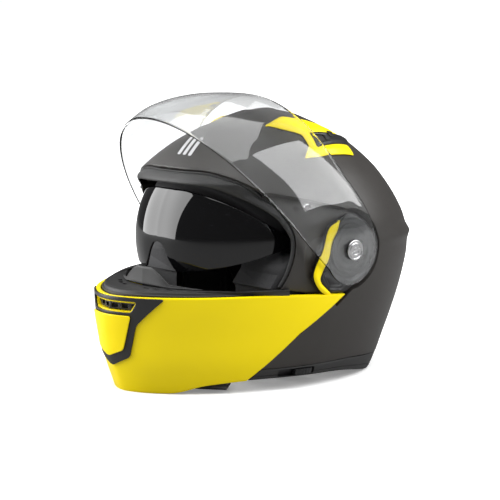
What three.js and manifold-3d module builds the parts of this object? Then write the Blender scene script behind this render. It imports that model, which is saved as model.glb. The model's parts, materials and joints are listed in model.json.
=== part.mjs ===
// Modular (flip-up) motorcycle helmet: a hard shell with a foam and fabric lining, a chin bar that
// lifts on two side pivots, a clear visor on the same pivots, a smoked sun visor in a pocket between
// shell and foam, crown and chin vents, and a chin strap.
// Millimetres, +Z up, the helmet faces -Y, and the wearer's left is +X.
import * as THREE from 'three';
import { mergeVertices } from 'three/addons/utils/BufferGeometryUtils.js';
import Module from 'manifold-3d';

const wasm = await Module();
wasm.setup();

// Overall size of the closed helmet
const shellLength = 347;
const shellWidth = 254;
const shellHeight = 262;

// Walls and clearances
const shellWall = 4;
const chinWall = 4.5;
const foamGap = 1;
const seamGap = 0.4;
const chinBarGap = 1;
const visorWall = 2.2;
const sunVisorWall = 2.3;
const padThickness = 8.5;

// Chin bar pivot and what is stacked on it, outwards from the shell's recess
const pivotAt = { y: 25, z: 132 };
const visorSwing = 51;
const armRecessRadius = 53.5;
const visorDiscRadius = 34;
const discRecessRadius = visorDiscRadius + 5.5;
const recessDepth = 12;
const templeRecess = 7.5;
const armWall = 3;
const podWall = 3.2;
const basePlateWall = 1.2;
const basePlateRadius = 25;
const screwHeadRadius = 9.8;
const screwShaftRadius = 5;
const screwHeadWall = 1.6;
const runningGap = 0.8;

// Sun visor: a barrel-shaped lens that turns about its own side pins
const sunAxisAt = { y: -15, z: 138 };
const sunLensRadius = 97;
const sunHubRadius = 12;
const sunPocketGap = 3.5;
const sunPinRadius = 8;
const sunVisorSwing = 46;
const sunSliderTravel = 15;

// Head space
const headHalfWidth = 84;
const headHalfLength = 100;
const headCentreY = 28;
const headEquator = 110;
const headTop = 224;

// Levels up the helmet
const chinTopLevel = 93.6;
const upperTrimLevel = 98.5;
const rimTrimTop = 22.6;
const liningBottom = 26;
const ridgeLevel = 137;
const ridgeHeight = 5;
const ridgeSpread = 9;

// The outlines below are drawn on a helmet of this size and stretched to the overall size
const drawn = { length: 347, width: 254, height: 262 };
const stretch = {
  x: shellWidth / drawn.width,
  y: shellLength / drawn.length,
  z: shellHeight / drawn.height,
};

// Sections of the closed helmet: level, front, back, half width, centre, front power, back power
const sections = [
  [-20, -148, 115, 98, 2, 1.7, 2.2],
  [0, -154, 131, 103, 2, 1.7, 2.2],
  [25, -163, 143, 110, 2, 1.7, 2.2],
  [55, -168, 155, 117, 6, 1.7, 2.2],
  [90, -170, 168, 123, 10, 1.75, 2.2],
  [115, -165, 174, 126, 14, 1.95, 2.2],
  [135, -155, 177, 127, 16, 2.1, 2.1],
  [160, -141, 168, 124, 18, 2.2, 2.1],
  [185, -119, 151, 114, 20, 2.35, 2.1],
  [208, -96.5, 131, 98, 22, 2.4, 2.1],
  [228, -72, 107, 77, 22, 2.25, 2.1],
  [243, -47, 82, 54, 21, 2.05, 2],
  [254, -19, 57, 34, 20, 2, 2],
];
const crownCentre = 19;

// Sections of the closed clear visor: level, front, half width
const visorSections = [
  [84, -167, 127],
  [95, -166, 127.5],
  [115, -163, 128.6],
  [135, -155, 129],
  [160, -140, 127.5],
  [185, -120, 119],
  [203, -103, 107],
  [214, -90, 98],
];
const visorCentre = 22;
const visorBack = 150;

// Smooth curve through given heights that never overshoots them
function curveThrough(heights, values) {
  const last = heights.length - 1;
  const rate = [];
  for (let i = 0; i < last; i += 1) {
    rate.push((values[i + 1] - values[i]) / (heights[i + 1] - heights[i]));
  }
  const slope = [rate[0]];
  for (let i = 1; i < last; i += 1) {
    const product = rate[i - 1] * rate[i];
    slope.push(product > 0 ? (2 * product) / (rate[i - 1] + rate[i]) : 0);
  }
  slope.push(rate[last - 1]);
  return (height) => {
    let i = 0;
    while (i < last - 1 && height > heights[i + 1]) i += 1;
    const span = heights[i + 1] - heights[i];
    const t = (height - heights[i]) / span;
    const bend = span * t * (1 - t);
    const ease = t * t * (3 - 2 * t);
    return values[i] + (values[i + 1] - values[i]) * ease
      + bend * ((1 - t) * slope[i] - t * slope[i + 1]);
  };
}

// Reach from the centre line, which rounds off to nothing at the crown
function domeCurve(levels, reach, top) {
  const ratios = reach.map((value, i) => value / Math.sqrt(top - levels[i]));
  const end = ratios.length - 1;
  ratios.push(ratios[end] + 0.2 * (ratios[end] - ratios[end - 1]));
  const ratio = curveThrough([...levels, top], ratios);
  return (level) => ratio(level) * Math.sqrt(Math.max(top - level, 0));
}

const column = (rows, index) => rows.map((row) => row[index]);
const levels = column(sections, 0);
const crownLevels = [...levels, drawn.height];
const helmet = {
  centre: curveThrough(crownLevels, [...column(sections, 4), crownCentre]),
  frontPower: curveThrough(crownLevels, [...column(sections, 5), 2]),
  backPower: curveThrough(crownLevels, [...column(sections, 6), 2]),
  front: domeCurve(levels, sections.map((row) => row[4] - row[1]), drawn.height),
  back: domeCurve(levels, sections.map((row) => row[2] - row[4]), drawn.height),
  side: domeCurve(levels, column(sections, 3), drawn.height),
};

// Point on the closed helmet at a level and a turn, where turn 0 is the front and 90 degrees the left
function helmetPoint(level, turn) {
  const c = Math.cos(turn);
  const s = Math.sin(turn);
  const centre = helmet.centre(level);
  if (level >= drawn.height) return new THREE.Vector3(0, centre, drawn.height);
  const power = c > 0 ? helmet.frontPower(level) : helmet.backPower(level);
  const reach = c > 0 ? helmet.front(level) : helmet.back(level);
  const side = helmet.side(level);
  let q = (Math.abs(c / reach) ** power + Math.abs(s / side) ** power) ** (-1 / power);
  if (c < 0) q += ridgeHeight * c * c * Math.max(0, 1 - Math.abs(level - ridgeLevel) / ridgeSpread);
  return new THREE.Vector3(q * s, centre - q * c, level);
}

const visorCurve = {
  front: curveThrough(column(visorSections, 0), visorSections.map((row) => visorCentre - row[1])),
  side: curveThrough(column(visorSections, 0), column(visorSections, 2)),
};
function visorPoint(level, turn) {
  const c = Math.cos(turn);
  const s = Math.sin(turn);
  const reach = c > 0 ? visorCurve.front(level) : visorBack;
  const q = ((c / reach) ** 2 + (s / visorCurve.side(level)) ** 2) ** -0.5;
  return new THREE.Vector3(q * s, visorCentre - q * c, level);
}

// ---- Solids ----

function solid(geometry) {
  geometry.deleteAttribute('normal');
  geometry.deleteAttribute('uv');
  const merged = mergeVertices(geometry, 1e-4);
  const place = merged.attributes.position;
  const corners = merged.index.array;
  const a = new THREE.Vector3();
  const b = new THREE.Vector3();
  const c = new THREE.Vector3();
  let volume = 0;
  const kept = [];
  for (let i = 0; i < corners.length; i += 3) {
    const [p, q, r] = [corners[i], corners[i + 1], corners[i + 2]];
    if (p === q || q === r || r === p) continue;
    volume += a.fromBufferAttribute(place, p).dot(
      b.fromBufferAttribute(place, q).cross(c.fromBufferAttribute(place, r)),
    );
    kept.push(p, q, r);
  }
  if (volume < 0) kept.reverse();
  return new wasm.Manifold(new wasm.Mesh({
    numProp: 3,
    vertProperties: new Float32Array(place.array),
    triVerts: new Uint32Array(kept),
  }));
}

// A closed form swept over levels, whose points come from a point function
function sweptForm(pointAt, rings, around) {
  const bottom = rings[0];
  const top = rings[rings.length - 1];
  const profile = [new THREE.Vector2(0, bottom)];
  for (const level of rings) profile.push(new THREE.Vector2(1, level));
  profile.push(new THREE.Vector2(0, top));
  const geometry = new THREE.LatheGeometry(profile, around);
  const place = geometry.attributes.position;
  for (let i = 0; i < place.count; i += 1) {
    const [x, level, z] = [place.getX(i), place.getY(i), place.getZ(i)];
    const share = Math.hypot(x, z) > 0.5 ? 1 : 0;
    const point = pointAt(level, Math.atan2(x, z));
    const centre = pointAt(level, 0).y + pointAt(level, Math.PI).y;
    place.setXYZ(i, point.x * share, share ? point.y : centre / 2, level);
  }
  return geometry;
}

const helmetRings = [-20, 0, 28, 62, 95, 114, ridgeLevel - ridgeSpread, ridgeLevel,
  ridgeLevel + ridgeSpread, 162, 180, 196, 211, 226, 240, 251, 258.5, drawn.height];
const outerGeometry = sweptForm(helmetPoint, helmetRings, 32);
const nestCentre = { y: 14, z: 120 };

// The helmet's form drawn in by a wall thickness, or let out by a negative one
function helmetForm(inset) {
  const geometry = outerGeometry.clone();
  const place = geometry.attributes.position;
  const share = {
    x: 1 - inset / (shellWidth / 2),
    y: 1 - inset / (shellLength / 2),
    z: 1 - inset / (shellHeight - nestCentre.z * stretch.z),
  };
  for (let i = 0; i < place.count; i += 1) {
    const x = place.getX(i) * stretch.x;
    const y = (place.getY(i) - nestCentre.y) * stretch.y;
    const z = (place.getZ(i) - nestCentre.z) * stretch.z;
    place.setXYZ(i, x * share.x, y * share.y + nestCentre.y * stretch.y,
      (z > 0 ? z * share.z : z) + nestCentre.z * stretch.z);
  }
  return solid(geometry);
}

const byInset = new Map();
function form(inset) {
  if (!byInset.has(inset)) byInset.set(inset, helmetForm(inset));
  return byInset.get(inset);
}
const layer = (outside, inside) => form(outside).subtract(form(inside));

// Outline in the side view, stretched to the overall size
const side = (points) => points.map(([y, z]) => [y * stretch.y, z * stretch.z]);
const toShape = (points) => new THREE.Shape(points.map(([u, v]) => new THREE.Vector2(u, v)));
const axisX = new THREE.Vector3(1, 0, 0);
const axisY = new THREE.Vector3(0, 1, 0);
const axisZ = new THREE.Vector3(0, 0, 1);

function prism(points, from, to, bases) {
  const shape = points instanceof THREE.Shape ? points : toShape(points);
  const geometry = new THREE.ExtrudeGeometry(shape, {
    depth: to - from,
    bevelEnabled: false,
    curveSegments: 10,
  });
  geometry.translate(0, 0, from);
  geometry.applyMatrix4(new THREE.Matrix4().makeBasis(...bases));
  return solid(geometry);
}
// Prisms along each axis: from a side view (y, z), a front view (x, z) and a plan (x, y)
const alongX = (points, from, to) => prism(points, from, to, [axisY, axisZ, axisX]);
const alongY = (points, from, to) => prism(points, -to, -from, [axisX, axisZ, axisY.clone().negate()]);
const alongZ = (points, from, to) => prism(points, from, to, [axisX, axisY, axisZ]);

const box = (x0, x1, y0, y1, z0, z1) => alongZ([[x0, y0], [x1, y0], [x1, y1], [x0, y1]], z0, z1);
function disc(centre, radius, from, to, sides = 32) {
  const geometry = new THREE.CylinderGeometry(radius, radius, to - from, sides);
  geometry.rotateZ(Math.PI / 2);
  geometry.translate((from + to) / 2, centre.y, centre.z);
  return solid(geometry);
}
const far = 400;
const above = [150, 300];
const bothSides = (make) => make(1).add(make(-1));

function mirrored(body) {
  return body.mirror([1, 0, 0]);
}

// ---- The scene ----

const group = new THREE.Group();
const paint = (color, roughness, metalness = 0, opacity = 1) => new THREE.MeshStandardMaterial({
  color, roughness, metalness, opacity, transparent: opacity < 1,
});
const finish = {
  shell: () => paint(0x2b2b2c, 0.55),
  yellow: () => paint(0xf2e205, 0.35),
  plastic: () => paint(0x1b1b1c, 0.5),
  rubber: () => paint(0x141414, 0.85),
  foam: () => paint(0x26272a, 0.95),
  fabric: () => paint(0x1a1a1d, 1),
  clear: () => paint(0xe8eef0, 0.05, 0, 0.3),
  smoke: () => paint(0x141416, 0.08, 0, 0.85),
  steel: () => paint(0xb8babd, 0.3, 1),
  red: () => paint(0xb3201b, 0.4),
};

function add(name, body, look) {
  const pieces = body.decompose();
  pieces.sort((one, other) => other.volume() - one.volume());
  const mesh = pieces[0].getMesh();
  const geometry = new THREE.BufferGeometry();
  const place = new Float32Array(mesh.numVert * 3);
  for (let i = 0; i < mesh.numVert; i += 1) {
    for (let k = 0; k < 3; k += 1) place[i * 3 + k] = mesh.vertProperties[i * mesh.numProp + k];
  }
  geometry.setAttribute('position', new THREE.BufferAttribute(place, 3));
  geometry.setIndex(new THREE.BufferAttribute(new Uint32Array(mesh.triVerts), 1));
  const node = new THREE.Mesh(geometry, look());
  node.name = name;
  group.add(node);
  return node;
}
function addPair(name, body, look) {
  add(`${name}_left`, body, look);
  add(`${name}_right`, mirrored(body), look);
}

// ---- Shared outlines ----

const pivot = { y: pivotAt.y * stretch.y, z: pivotAt.z * stretch.z };
const recessFace = shellWidth / 2 - recessDepth;

// Edge of the eye opening on the shell, from above the forehead down the temple
const eyeportEdge = [[-90, 208.5], [-80, 204], [-66, 194.5], [-53.5, 183], [-45, 169], [-38, 150],
  [-39, 130], [-44, 112], [-50, 99]];
// Inner edge of the rubber seal that lines it
const sealEdge = [[-99, 197], [-84, 191], [-66, 179], [-54, 168], [-48, 158], [-43.5, 148],
  [-44.5, 130], [-49.5, 112], [-55, 99]];
// Rear edge of the chin bar, from its tip by the pivot down the diagonal
const chinBarRear = [[19.5, 89.5], [-29, 55.5], [-74.5, 13], [-82, -30]];

const openFront = [[-far, -30], [-far, 208.5]];
const behindChinBar = chinBarRear.map(([y, z]) => [y + chinBarGap * 1.2, z - chinBarGap * 0.2]);
const chinBarClear = [[-22, 93.5], [20, 90.8], ...behindChinBar];
const eyeport = alongX(side([...openFront, ...eyeportEdge, ...chinBarClear]), -far, far);
const sealedPort = alongX(side([[-far, 20], [-far, 197], ...sealEdge, [-53, 97], [-53, 20]]), -far, far);

// Recess in each temple, drawn in by extra on every side: the chin bar's arms, and the walls of the
// chin bar that follow them, swing through it
function templeHollow(extra) {
  const reach = discRecessRadius + extra;
  const points = [[-far, 190 + extra], [-60, 190 + extra]];
  for (let angle = 95; angle >= -90; angle -= 18.5) {
    const turn = THREE.MathUtils.degToRad(angle);
    points.push([pivotAt.y + reach * Math.cos(turn), pivotAt.z + reach * Math.sin(turn)]);
  }
  points.push([16, 86 - extra], [-far, 86 - extra]);
  const outline = alongX(side(points), -far, far);
  const face = recessFace - extra;
  const armHollow = disc(pivot, armRecessRadius + extra, face, far, 40).intersect(outline);
  return outline.subtract(form(templeRecess + extra)).add(armHollow).add(mirrored(armHollow));
}
const foamFace = recessFace - shellWall - foamGap;

// Bottom line of the helmet and the top of the rubber rim trim
const rimBottom = [[-90, 12], [-21, 12.2], [39, 9.6], [70, 4.5], [92, 0], [far, 0]];
const rimTop = [[-90, rimTrimTop], [40, rimTrimTop], [88, 18.5], [140, 14], [far, 14]];
const raise = (points, by) => points.map(([y, z]) => [y, z + by]);
const belowRim = alongX(side([...raise(rimTop, seamGap), [far, -90], [-90, -90]]), -far, far);

// ---- Shell, rim trim and seal ----

const ventHole = alongZ([[62, 34], [70, 31], [68, 48], [61, 50]].map(([x, y]) => [
  x * stretch.x, y * stretch.y]), ...above);
const crownHoles = ventHole.add(mirrored(ventHole));

const outer = form(0).subtract(templeHollow(0));
const hollow = form(shellWall).subtract(templeHollow(shellWall));
const shell = outer.subtract(hollow).subtract(eyeport).subtract(belowRim).subtract(crownHoles);
add('outer_shell', shell, finish.shell);

const rimBand = alongX(side([...rimBottom, ...rimTop.slice().reverse()]), -far, far);
const frontOfTrim = alongX(side([[-far, -30], [-far, 40], [-45.5, 40], [-72, 13], [-80, -30]]), -far, far);
const slotY = [-45, -6];
const slotZ = [13.4, 20.6];
const sliderSlot = box(80, 140, slotY[0] * stretch.y, slotY[1] * stretch.y, slotZ[0] * stretch.z, slotZ[1] * stretch.z);
const rimTrim = layer(0.3, 5.5).intersect(rimBand).subtract(frontOfTrim).subtract(sliderSlot);
add('rim_trim', rimTrim, finish.rubber);

const sealStrip = alongX(side([...eyeportEdge.map(([y, z]) => [y - 0.4, z - 0.4]),
  ...sealEdge.slice().reverse(), [-far, 197], [-far, 208.1]]), -far, far);
// The seal steps down from the brow into the temple recess
const sealStep = 189 * stretch.z;
const browSeal = layer(1.3, 3.7).intersect(sealStrip).intersect(box(-far, far, -far, far, sealStep, far));
const templeSeal = layer(templeRecess + 0.8, templeRecess + 3.2).intersect(sealStrip)
  .intersect(box(-far, far, -far, far, 0, sealStep));
const sealRiser = layer(1.3, templeRecess + 3.2).intersect(sealStrip)
  .intersect(box(-far, far, -far, far, sealStep - 2, sealStep + 2));
add('eyeport_seal', browSeal.add(templeSeal).add(sealRiser), finish.rubber);

// ---- Foam and comfort lining ----

function headForm(grow) {
  const around = 24;
  const rings = [-60, 0, 50, 90];
  for (let i = 1; i <= 7; i += 1) rings.push(90 + (headTop + grow - 90) * Math.sin((i * Math.PI) / 14));
  const pointAt = (level, turn) => {
    const rise = Math.max(0, (level - 90) / (headTop + grow - 90));
    const share = Math.sqrt(Math.max(0, 1 - rise * rise));
    const neck = level < headEquator ? 0.94 + 0.06 * Math.max(0, level) / headEquator : 1;
    return new THREE.Vector3((headHalfWidth + grow) * share * neck * Math.sin(turn),
      headCentreY - (headHalfLength + grow) * share * neck * Math.cos(turn), level);
  };
  return solid(sweptForm(pointAt, rings, around));
}

// Barrel surface of the sun visor about its own axis: place along X and radius
const lensProfile = [[0, sunLensRadius], [25, 95.5], [45, 88.5], [62, 76.5], [76, 60], [86, 41], [92, 22], [94.5, 0]];
function barrel(inset) {
  const half = lensProfile.map(([x, r]) => {
    const share = 1 - inset / sunLensRadius;
    return new THREE.Vector2(r * share, x * stretch.x * share);
  });
  const other = half.slice(1).reverse().map((p) => new THREE.Vector2(p.x, -p.y));
  const geometry = new THREE.LatheGeometry([...other, ...half], 44);
  geometry.rotateZ(Math.PI / 2);
  geometry.translate(0, sunAxis.y, sunAxis.z);
  return solid(geometry);
}
const sunAxis = { y: sunAxisAt.y * stretch.y, z: sunAxisAt.z * stretch.z };
// Wedge about the sun visor's axis between two angles above the forward direction
function wedge(from, to, reach = 260) {
  const points = [[sunAxis.y, sunAxis.z]];
  for (let i = 0; i <= 4; i += 1) {
    const angle = THREE.MathUtils.degToRad(from + ((to - from) * i) / 4);
    points.push([sunAxis.y - reach * Math.cos(angle), sunAxis.z + reach * Math.sin(angle)]);
  }
  return alongX(points, -far, far);
}
const lensAngles = { low: -16, high: 32 };
const pocketWedge = wedge(lensAngles.low - 14, lensAngles.high + sunVisorSwing + 6);
const hubSpace = bothSides((s) => disc(sunAxis, sunHubRadius + 4, s > 0 ? 84 * stretch.x : -130,
  s > 0 ? 130 : -84 * stretch.x));
const sunPocket = pocketWedge.subtract(barrel(sunVisorWall + sunPocketGap)).add(hubSpace);

const cableGrooveDepth = 31;
const cableGroove = alongX(side([[-27, 20], [-12, 20], [-8, 130], [-22, 130]]), shellWidth / 2 - cableGrooveDepth, far);
const headSpace = headForm(0);
const strapSpace = bothSides((s) => box(s > 0 ? 70 : -100, s > 0 ? 100 : -70, -20, 10, 20, 34));
// Way through the foam for the latch hooks as the chin bar swings
const latchAt = { y: -54, z: 38 };
const latchIn = 85.6;
const latchSweep = [];
function sweepArc(radius, from, to, step) {
  for (let angle = from; (to - angle) * step >= 0; angle += step) {
    const turn = THREE.MathUtils.degToRad(angle);
    latchSweep.push([pivotAt.y - radius * Math.cos(turn), pivotAt.z + radius * Math.sin(turn)]);
  }
}
sweepArc(136, -70, 40, 11);
sweepArc(104, 40, -70, -22);
const latchSpace = bothSides((s) => alongX(side(latchSweep), s > 0 ? latchIn - 1 : -130, s > 0 ? 130 : 1 - latchIn)
  .add(box(s > 0 ? latchIn - 1 : -130, s > 0 ? 130 : 1 - latchIn, -64, -17, 20, 53)));
const belowLining = box(-far, far, -far, far, -60, liningBottom);
const foam = form(shellWall + foamGap).subtract(templeHollow(shellWall + foamGap)).subtract(headSpace).subtract(sealedPort)
  .subtract(sunPocket).subtract(cableGroove).subtract(latchSpace).subtract(belowLining)
  .subtract(strapSpace);
add('foam_liner', foam, finish.foam);

const liningEdge = alongX(side([[-far, -30], [-far, 196], [-60, 196], [-40, 168], [-34, 126],
  [far, 118], [far, -30]]), -far, far);
const comfort = headForm(-0.6).subtract(headForm(-padThickness)).subtract(liningEdge);
add('crown_pad', comfort, finish.fabric);

const cheekOutline = side([[-50, 34], [-46, 100], [-30, 112], [10, 112], [26, 98], [30, 40], [22, 30],
  [-44, 29]]);
const cheekInner = 60 * stretch.x;
const cheekPad = headForm(-0.6).intersect(alongX(cheekOutline, cheekInner, far));
addPair('cheek_pad', cheekPad, finish.fabric);

const neckBand = alongX(side([[16, 12], [16, 25], [80, 25], [far, 25], [far, 4], [95, 4], [70, 9]]), -far, far);
const neckRoll = form(7).intersect(neckBand).subtract(headForm(-13));
add('neck_roll', neckRoll, finish.fabric);

const rearPad = headForm(-0.6).subtract(headForm(-10))
  .intersect(alongX(side([[60, 30], [34, 100], [34, 114], [far, 112], [far, 30]]), -far, far));
add('nape_pad', rearPad, finish.fabric);

// ---- Chin bar: all of this lifts on the two pivots ----

const chinOutline = alongX(side([[-far, 0], [-128, 0], [-110, 8.5], [-74, 12], ...chinBarRear.slice(0, 3).reverse(),
  [19.5, 89.5], [-20, 92], [-60, chinTopLevel], [-far, chinTopLevel]]), -far, far);
const intakeHole = alongY([[-26, 80], [26, 80], [31, 88], [-31, 88]], -far, -100);
const chinShell = layer(0, chinWall).intersect(chinOutline).subtract(intakeHole);
add('chin_bar_shell', chinShell, finish.yellow);

// Inner edge of the chin bar in plan: it has to pass in front of the forehead when it lifts
const innerEdge = [[0, -127], [30, -122.5], [60, -105.5], [80, -89], [95, -75], [108, -57], [114, -42]]
  .map(([x, y]) => [x * stretch.x, y * stretch.y]);
const innerPlan = [...innerEdge.slice(1).reverse().map(([x, y]) => [-x, y]), ...innerEdge];
const insideChin = [...innerPlan, [far, -42], [far, far], [-far, far], [-far, -42]];
const insideChinBar = alongZ(insideChin, -60, 160);

const buttonAt = { x: 13, y: [-145, -134], z: [4, 20], travel: 4 };
const buttonSpace = box(-buttonAt.x - 1, buttonAt.x + 1, buttonAt.y[0] - 1, buttonAt.y[1] + 1, -10,
  buttonAt.z[1] + buttonAt.travel + 1);
const chinFoam = form(chinWall + foamGap).subtract(insideChinBar).subtract(buttonSpace)
  .intersect(box(-far, far, -far, -45, 9, chinTopLevel * stretch.z - 1)).subtract(latchSpace);
add('chin_bar_foam', chinFoam, finish.foam);

const trimInset = 8.5;
const upperTrim = form(trimInset).subtract(insideChinBar)
  .intersect(box(-far, far, -far, -45, chinTopLevel * stretch.z - 0.5, upperTrimLevel * stretch.z));
add('chin_bar_upper_trim', upperTrim, finish.plastic);

const guardTop = 116;
const guardWall = 2.4;
const guardPlan = innerPlan.filter(([x]) => Math.abs(x) < 70);
const guardStrip = [...guardPlan, ...guardPlan.slice().reverse().map(([x, y]) => [x, y - guardWall])];
const guardFront = alongY([[-60, upperTrimLevel + 0.4], [60, upperTrimLevel + 0.4], [34, 108],
  [12, guardTop], [-12, guardTop], [-34, 108]], -far, 0);
add('breath_guard', alongZ(guardStrip, upperTrimLevel * stretch.z + seamGap, guardTop * stretch.z)
  .intersect(guardFront), finish.rubber);

const curtainPlan = [...innerPlan.filter(([x]) => Math.abs(x) < 85).map(([x, y]) => [x * 0.98, y - 1]),
  [60, -70], [0, -92], [-60, -70]];
add('chin_curtain', alongZ(curtainPlan, 3.5, 5.5), finish.fabric);

add('release_button', box(-buttonAt.x, buttonAt.x, ...buttonAt.y, ...buttonAt.z), finish.red);

// Front vent: black surround, grille behind its slots, and a yellow plate that slides up over them
const ventOutline = [[-55, 93], [-30.5, 67], [-21.5, 36], [0, 26], [21.5, 36], [30.5, 67], [55, 93]];
const ventTop = [[-33, 89], [-27, 79], [27, 79], [33, 89]];
const surroundProud = 2.2;
const surround = layer(-surroundProud, -0.3).intersect(alongY(ventOutline, -far, -60))
  .subtract(alongY(ventTop, -far, -60));
add('chin_vent_surround', surround, finish.plastic);
const grilleBars = [-22, -11, 0, 11, 22].map((x) => box(x - 2, x + 2, -far, -60, 80.5, 87.5))
  .reduce((all, bar) => all.add(bar));
const grille = layer(1.2, chinWall - 0.8).intersect(alongY([[-25.5, 80.5], [25.5, 80.5], [30, 87.5],
  [-30, 87.5]], -far, -60).subtract(alongY([[-24, 82], [24, 82], [27, 86], [-27, 86]], -far, -60)).add(grilleBars));
add('chin_vent_grille', grille, finish.plastic);
const plateOutline = [[-27.5, 76], [-17, 43], [0, 36], [17, 43], [27.5, 76]];
const plate = layer(-surroundProud - 2.2, -surroundProud - 0.7).intersect(alongY(plateOutline, -far, -60));
add('chin_vent_plate', plate, finish.yellow);

// ---- Pivot stack, on each side: chin bar arm, cover with yellow edge, ratchet plate and screw ----

const armIn = recessFace + runningGap;
const podIn = armIn + armWall + 0.3;
const plateIn = podIn + podWall + 0.3;
const screwIn = plateIn + 0.8;
const podFront = [[-3, 91], [-19.5, 108], [-8, 135], [0.2, 155], [12.6, 160.5]];
const podRear = [[25, 166], [43, 160], [56, 146], [60, 128], [50, 107], [22, 91]];
const crescentInner = [[10, 152], [3, 140], [-1, 126], [-9, 112], [-11, 108], [3, 92.2]];
const aroundPivot = (points) => points.map(([y, z]) => [pivot.y + y - pivotAt.y, pivot.z + z - pivotAt.z]);
const chinArm = alongX(aroundPivot([...podFront, ...podRear]), armIn, armIn + armWall);
addPair('chin_bar_arm', chinArm, finish.plastic);
const podCover = alongX(aroundPivot([...crescentInner.slice().reverse().map(([y, z]) => [y + 0.6, z]), [14, 159.5],
  ...podRear]), podIn, podIn + podWall).subtract(disc(pivot, 12, podIn - 5, podIn + 9));
addPair('pivot_cover', podCover, finish.plastic);
const crescent = alongX(aroundPivot([...podFront, ...crescentInner]), podIn, podIn + podWall);
addPair('pivot_cover_edge', crescent, finish.yellow);
addPair('ratchet_plate', disc(pivot, basePlateRadius, plateIn, plateIn + basePlateWall, 40)
  .subtract(disc(pivot, screwShaftRadius + 1, plateIn - 5, plateIn + 9)), finish.plastic);

// ---- Clear visor: modelled closed, then swung up ----

function visorForm(inset) {
  const geometry = sweptForm(visorPoint, [84, 100, 118, 135, 155, 172, 188, 203, 214], 40);
  const place = geometry.attributes.position;
  for (let i = 0; i < place.count; i += 1) {
    const x = place.getX(i) * stretch.x;
    const y = place.getY(i) * stretch.y;
    place.setXYZ(i, x * (1 - inset / (shellWidth / 2)), y - (y - pivot.y) * (inset / (shellLength / 2)),
      place.getZ(i) * stretch.z + (inset > 0 ? Math.sign(place.getZ(i) - 150) * 5 : 0));
  }
  return solid(geometry);
}
const discArc = [];
for (let angle = 265; angle <= 420; angle += 15) {
  const turn = THREE.MathUtils.degToRad(angle);
  discArc.push([pivotAt.y + visorDiscRadius * Math.cos(turn), pivotAt.z + visorDiscRadius * Math.sin(turn)]);
}
const visorLow = 94.6;
const visorOutline = side([[-far, visorLow], [-8, visorLow], ...discArc, [24, 168], [3.5, 172.3], [-29, 176],
  [-61, 186.4], [-85, 197], [-97, 201.5], [-far, 202.5]]);
const visorHole = disc(pivot, screwShaftRadius + runningGap, -far, far);
const closedVisor = visorForm(0).subtract(visorForm(visorWall)).intersect(alongX(visorOutline, -far, far))
  .subtract(visorHole);
const swung = new THREE.Matrix4().makeTranslation(0, pivot.y, pivot.z)
  .multiply(new THREE.Matrix4().makeRotationX(THREE.MathUtils.degToRad(-visorSwing)))
  .multiply(new THREE.Matrix4().makeTranslation(0, -pivot.y, -pivot.z));
const raised = (body) => body.transform(swung.elements);
add('clear_visor', raised(closedVisor), finish.clear);
const pinAt = { y: -48 * stretch.y, z: 114 * stretch.z };
const pinRadius = 3.2;
const pinProud = 1.8;
const visorFaceAtPin = visorPoint(114, Math.PI / 3).x * stretch.x + 7.8;
addPair('insert_pin', raised(disc(pinAt, pinRadius, visorFaceAtPin, visorFaceAtPin + pinProud, 16)), finish.steel);
const screwOut = shellWidth / 2 + 2.8;
const screw = disc(pivot, screwShaftRadius, screwIn + 1.3, screwOut, 24)
  .add(disc(pivot, screwHeadRadius, screwOut, screwOut + screwHeadWall, 32));
addPair('pivot_screw', screw, finish.steel);

// ---- Sun visor, its brackets, cable and slider ----

const notch = alongY([[-24, 60], [24, 60], [12, 130], [7, 138], [-7, 138], [-12, 130]], -far, 0);
const lensBody = barrel(0).subtract(barrel(sunVisorWall));
const lensWedge = wedge(lensAngles.low, lensAngles.high);
const hub = disc(sunAxis, sunHubRadius, -far, far);
const lens = lensBody.intersect(lensWedge.add(hub)).subtract(notch)
  .subtract(disc(sunAxis, 4, -far, far));
add('sun_visor', lens, finish.smoke);
const bracketIn = 95.2 * stretch.x;
addPair('sun_visor_bracket', disc(sunAxis, sunPinRadius, bracketIn, foamFace + foamGap - 0.4, 20), finish.plastic);

const knobBox = box(60, 140, -27.5 * stretch.y, -9.5 * stretch.y, 14.2 * stretch.z, 19.8 * stretch.z);
add('sun_visor_slider', layer(-3, 4.6).intersect(knobBox), finish.plastic);
const trackBox = box(60, 140, -48 * stretch.y, -4 * stretch.y, 12.8 * stretch.z, 21.4 * stretch.z);
add('slider_track', layer(6.6, 8.1).intersect(trackBox), finish.plastic);

// Points of the route: how far in from the helmet's side, y and z
const cableRoute = [[26.5, -19, 27], [24.5, -18.5, 45], [21.5, -18, 70], [20.5, -17, 95], [23, -16, 118]];
const cablePath = new THREE.CatmullRomCurve3(cableRoute.map(([depth, y, z]) => new THREE.Vector3(
  shellWidth / 2 - depth, y * stretch.y, z * stretch.z)));
const cableSection = new THREE.Shape();
cableSection.absarc(0, 0, 1.3, 0, Math.PI * 2);
const cable = new THREE.ExtrudeGeometry(cableSection, { steps: 14, curveSegments: 4, extrudePath: cablePath });
add('sun_visor_cable', solid(cable), finish.rubber);

// ---- Crown vents: yellow frame, black scoop and a sliding shutter on each side ----

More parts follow.
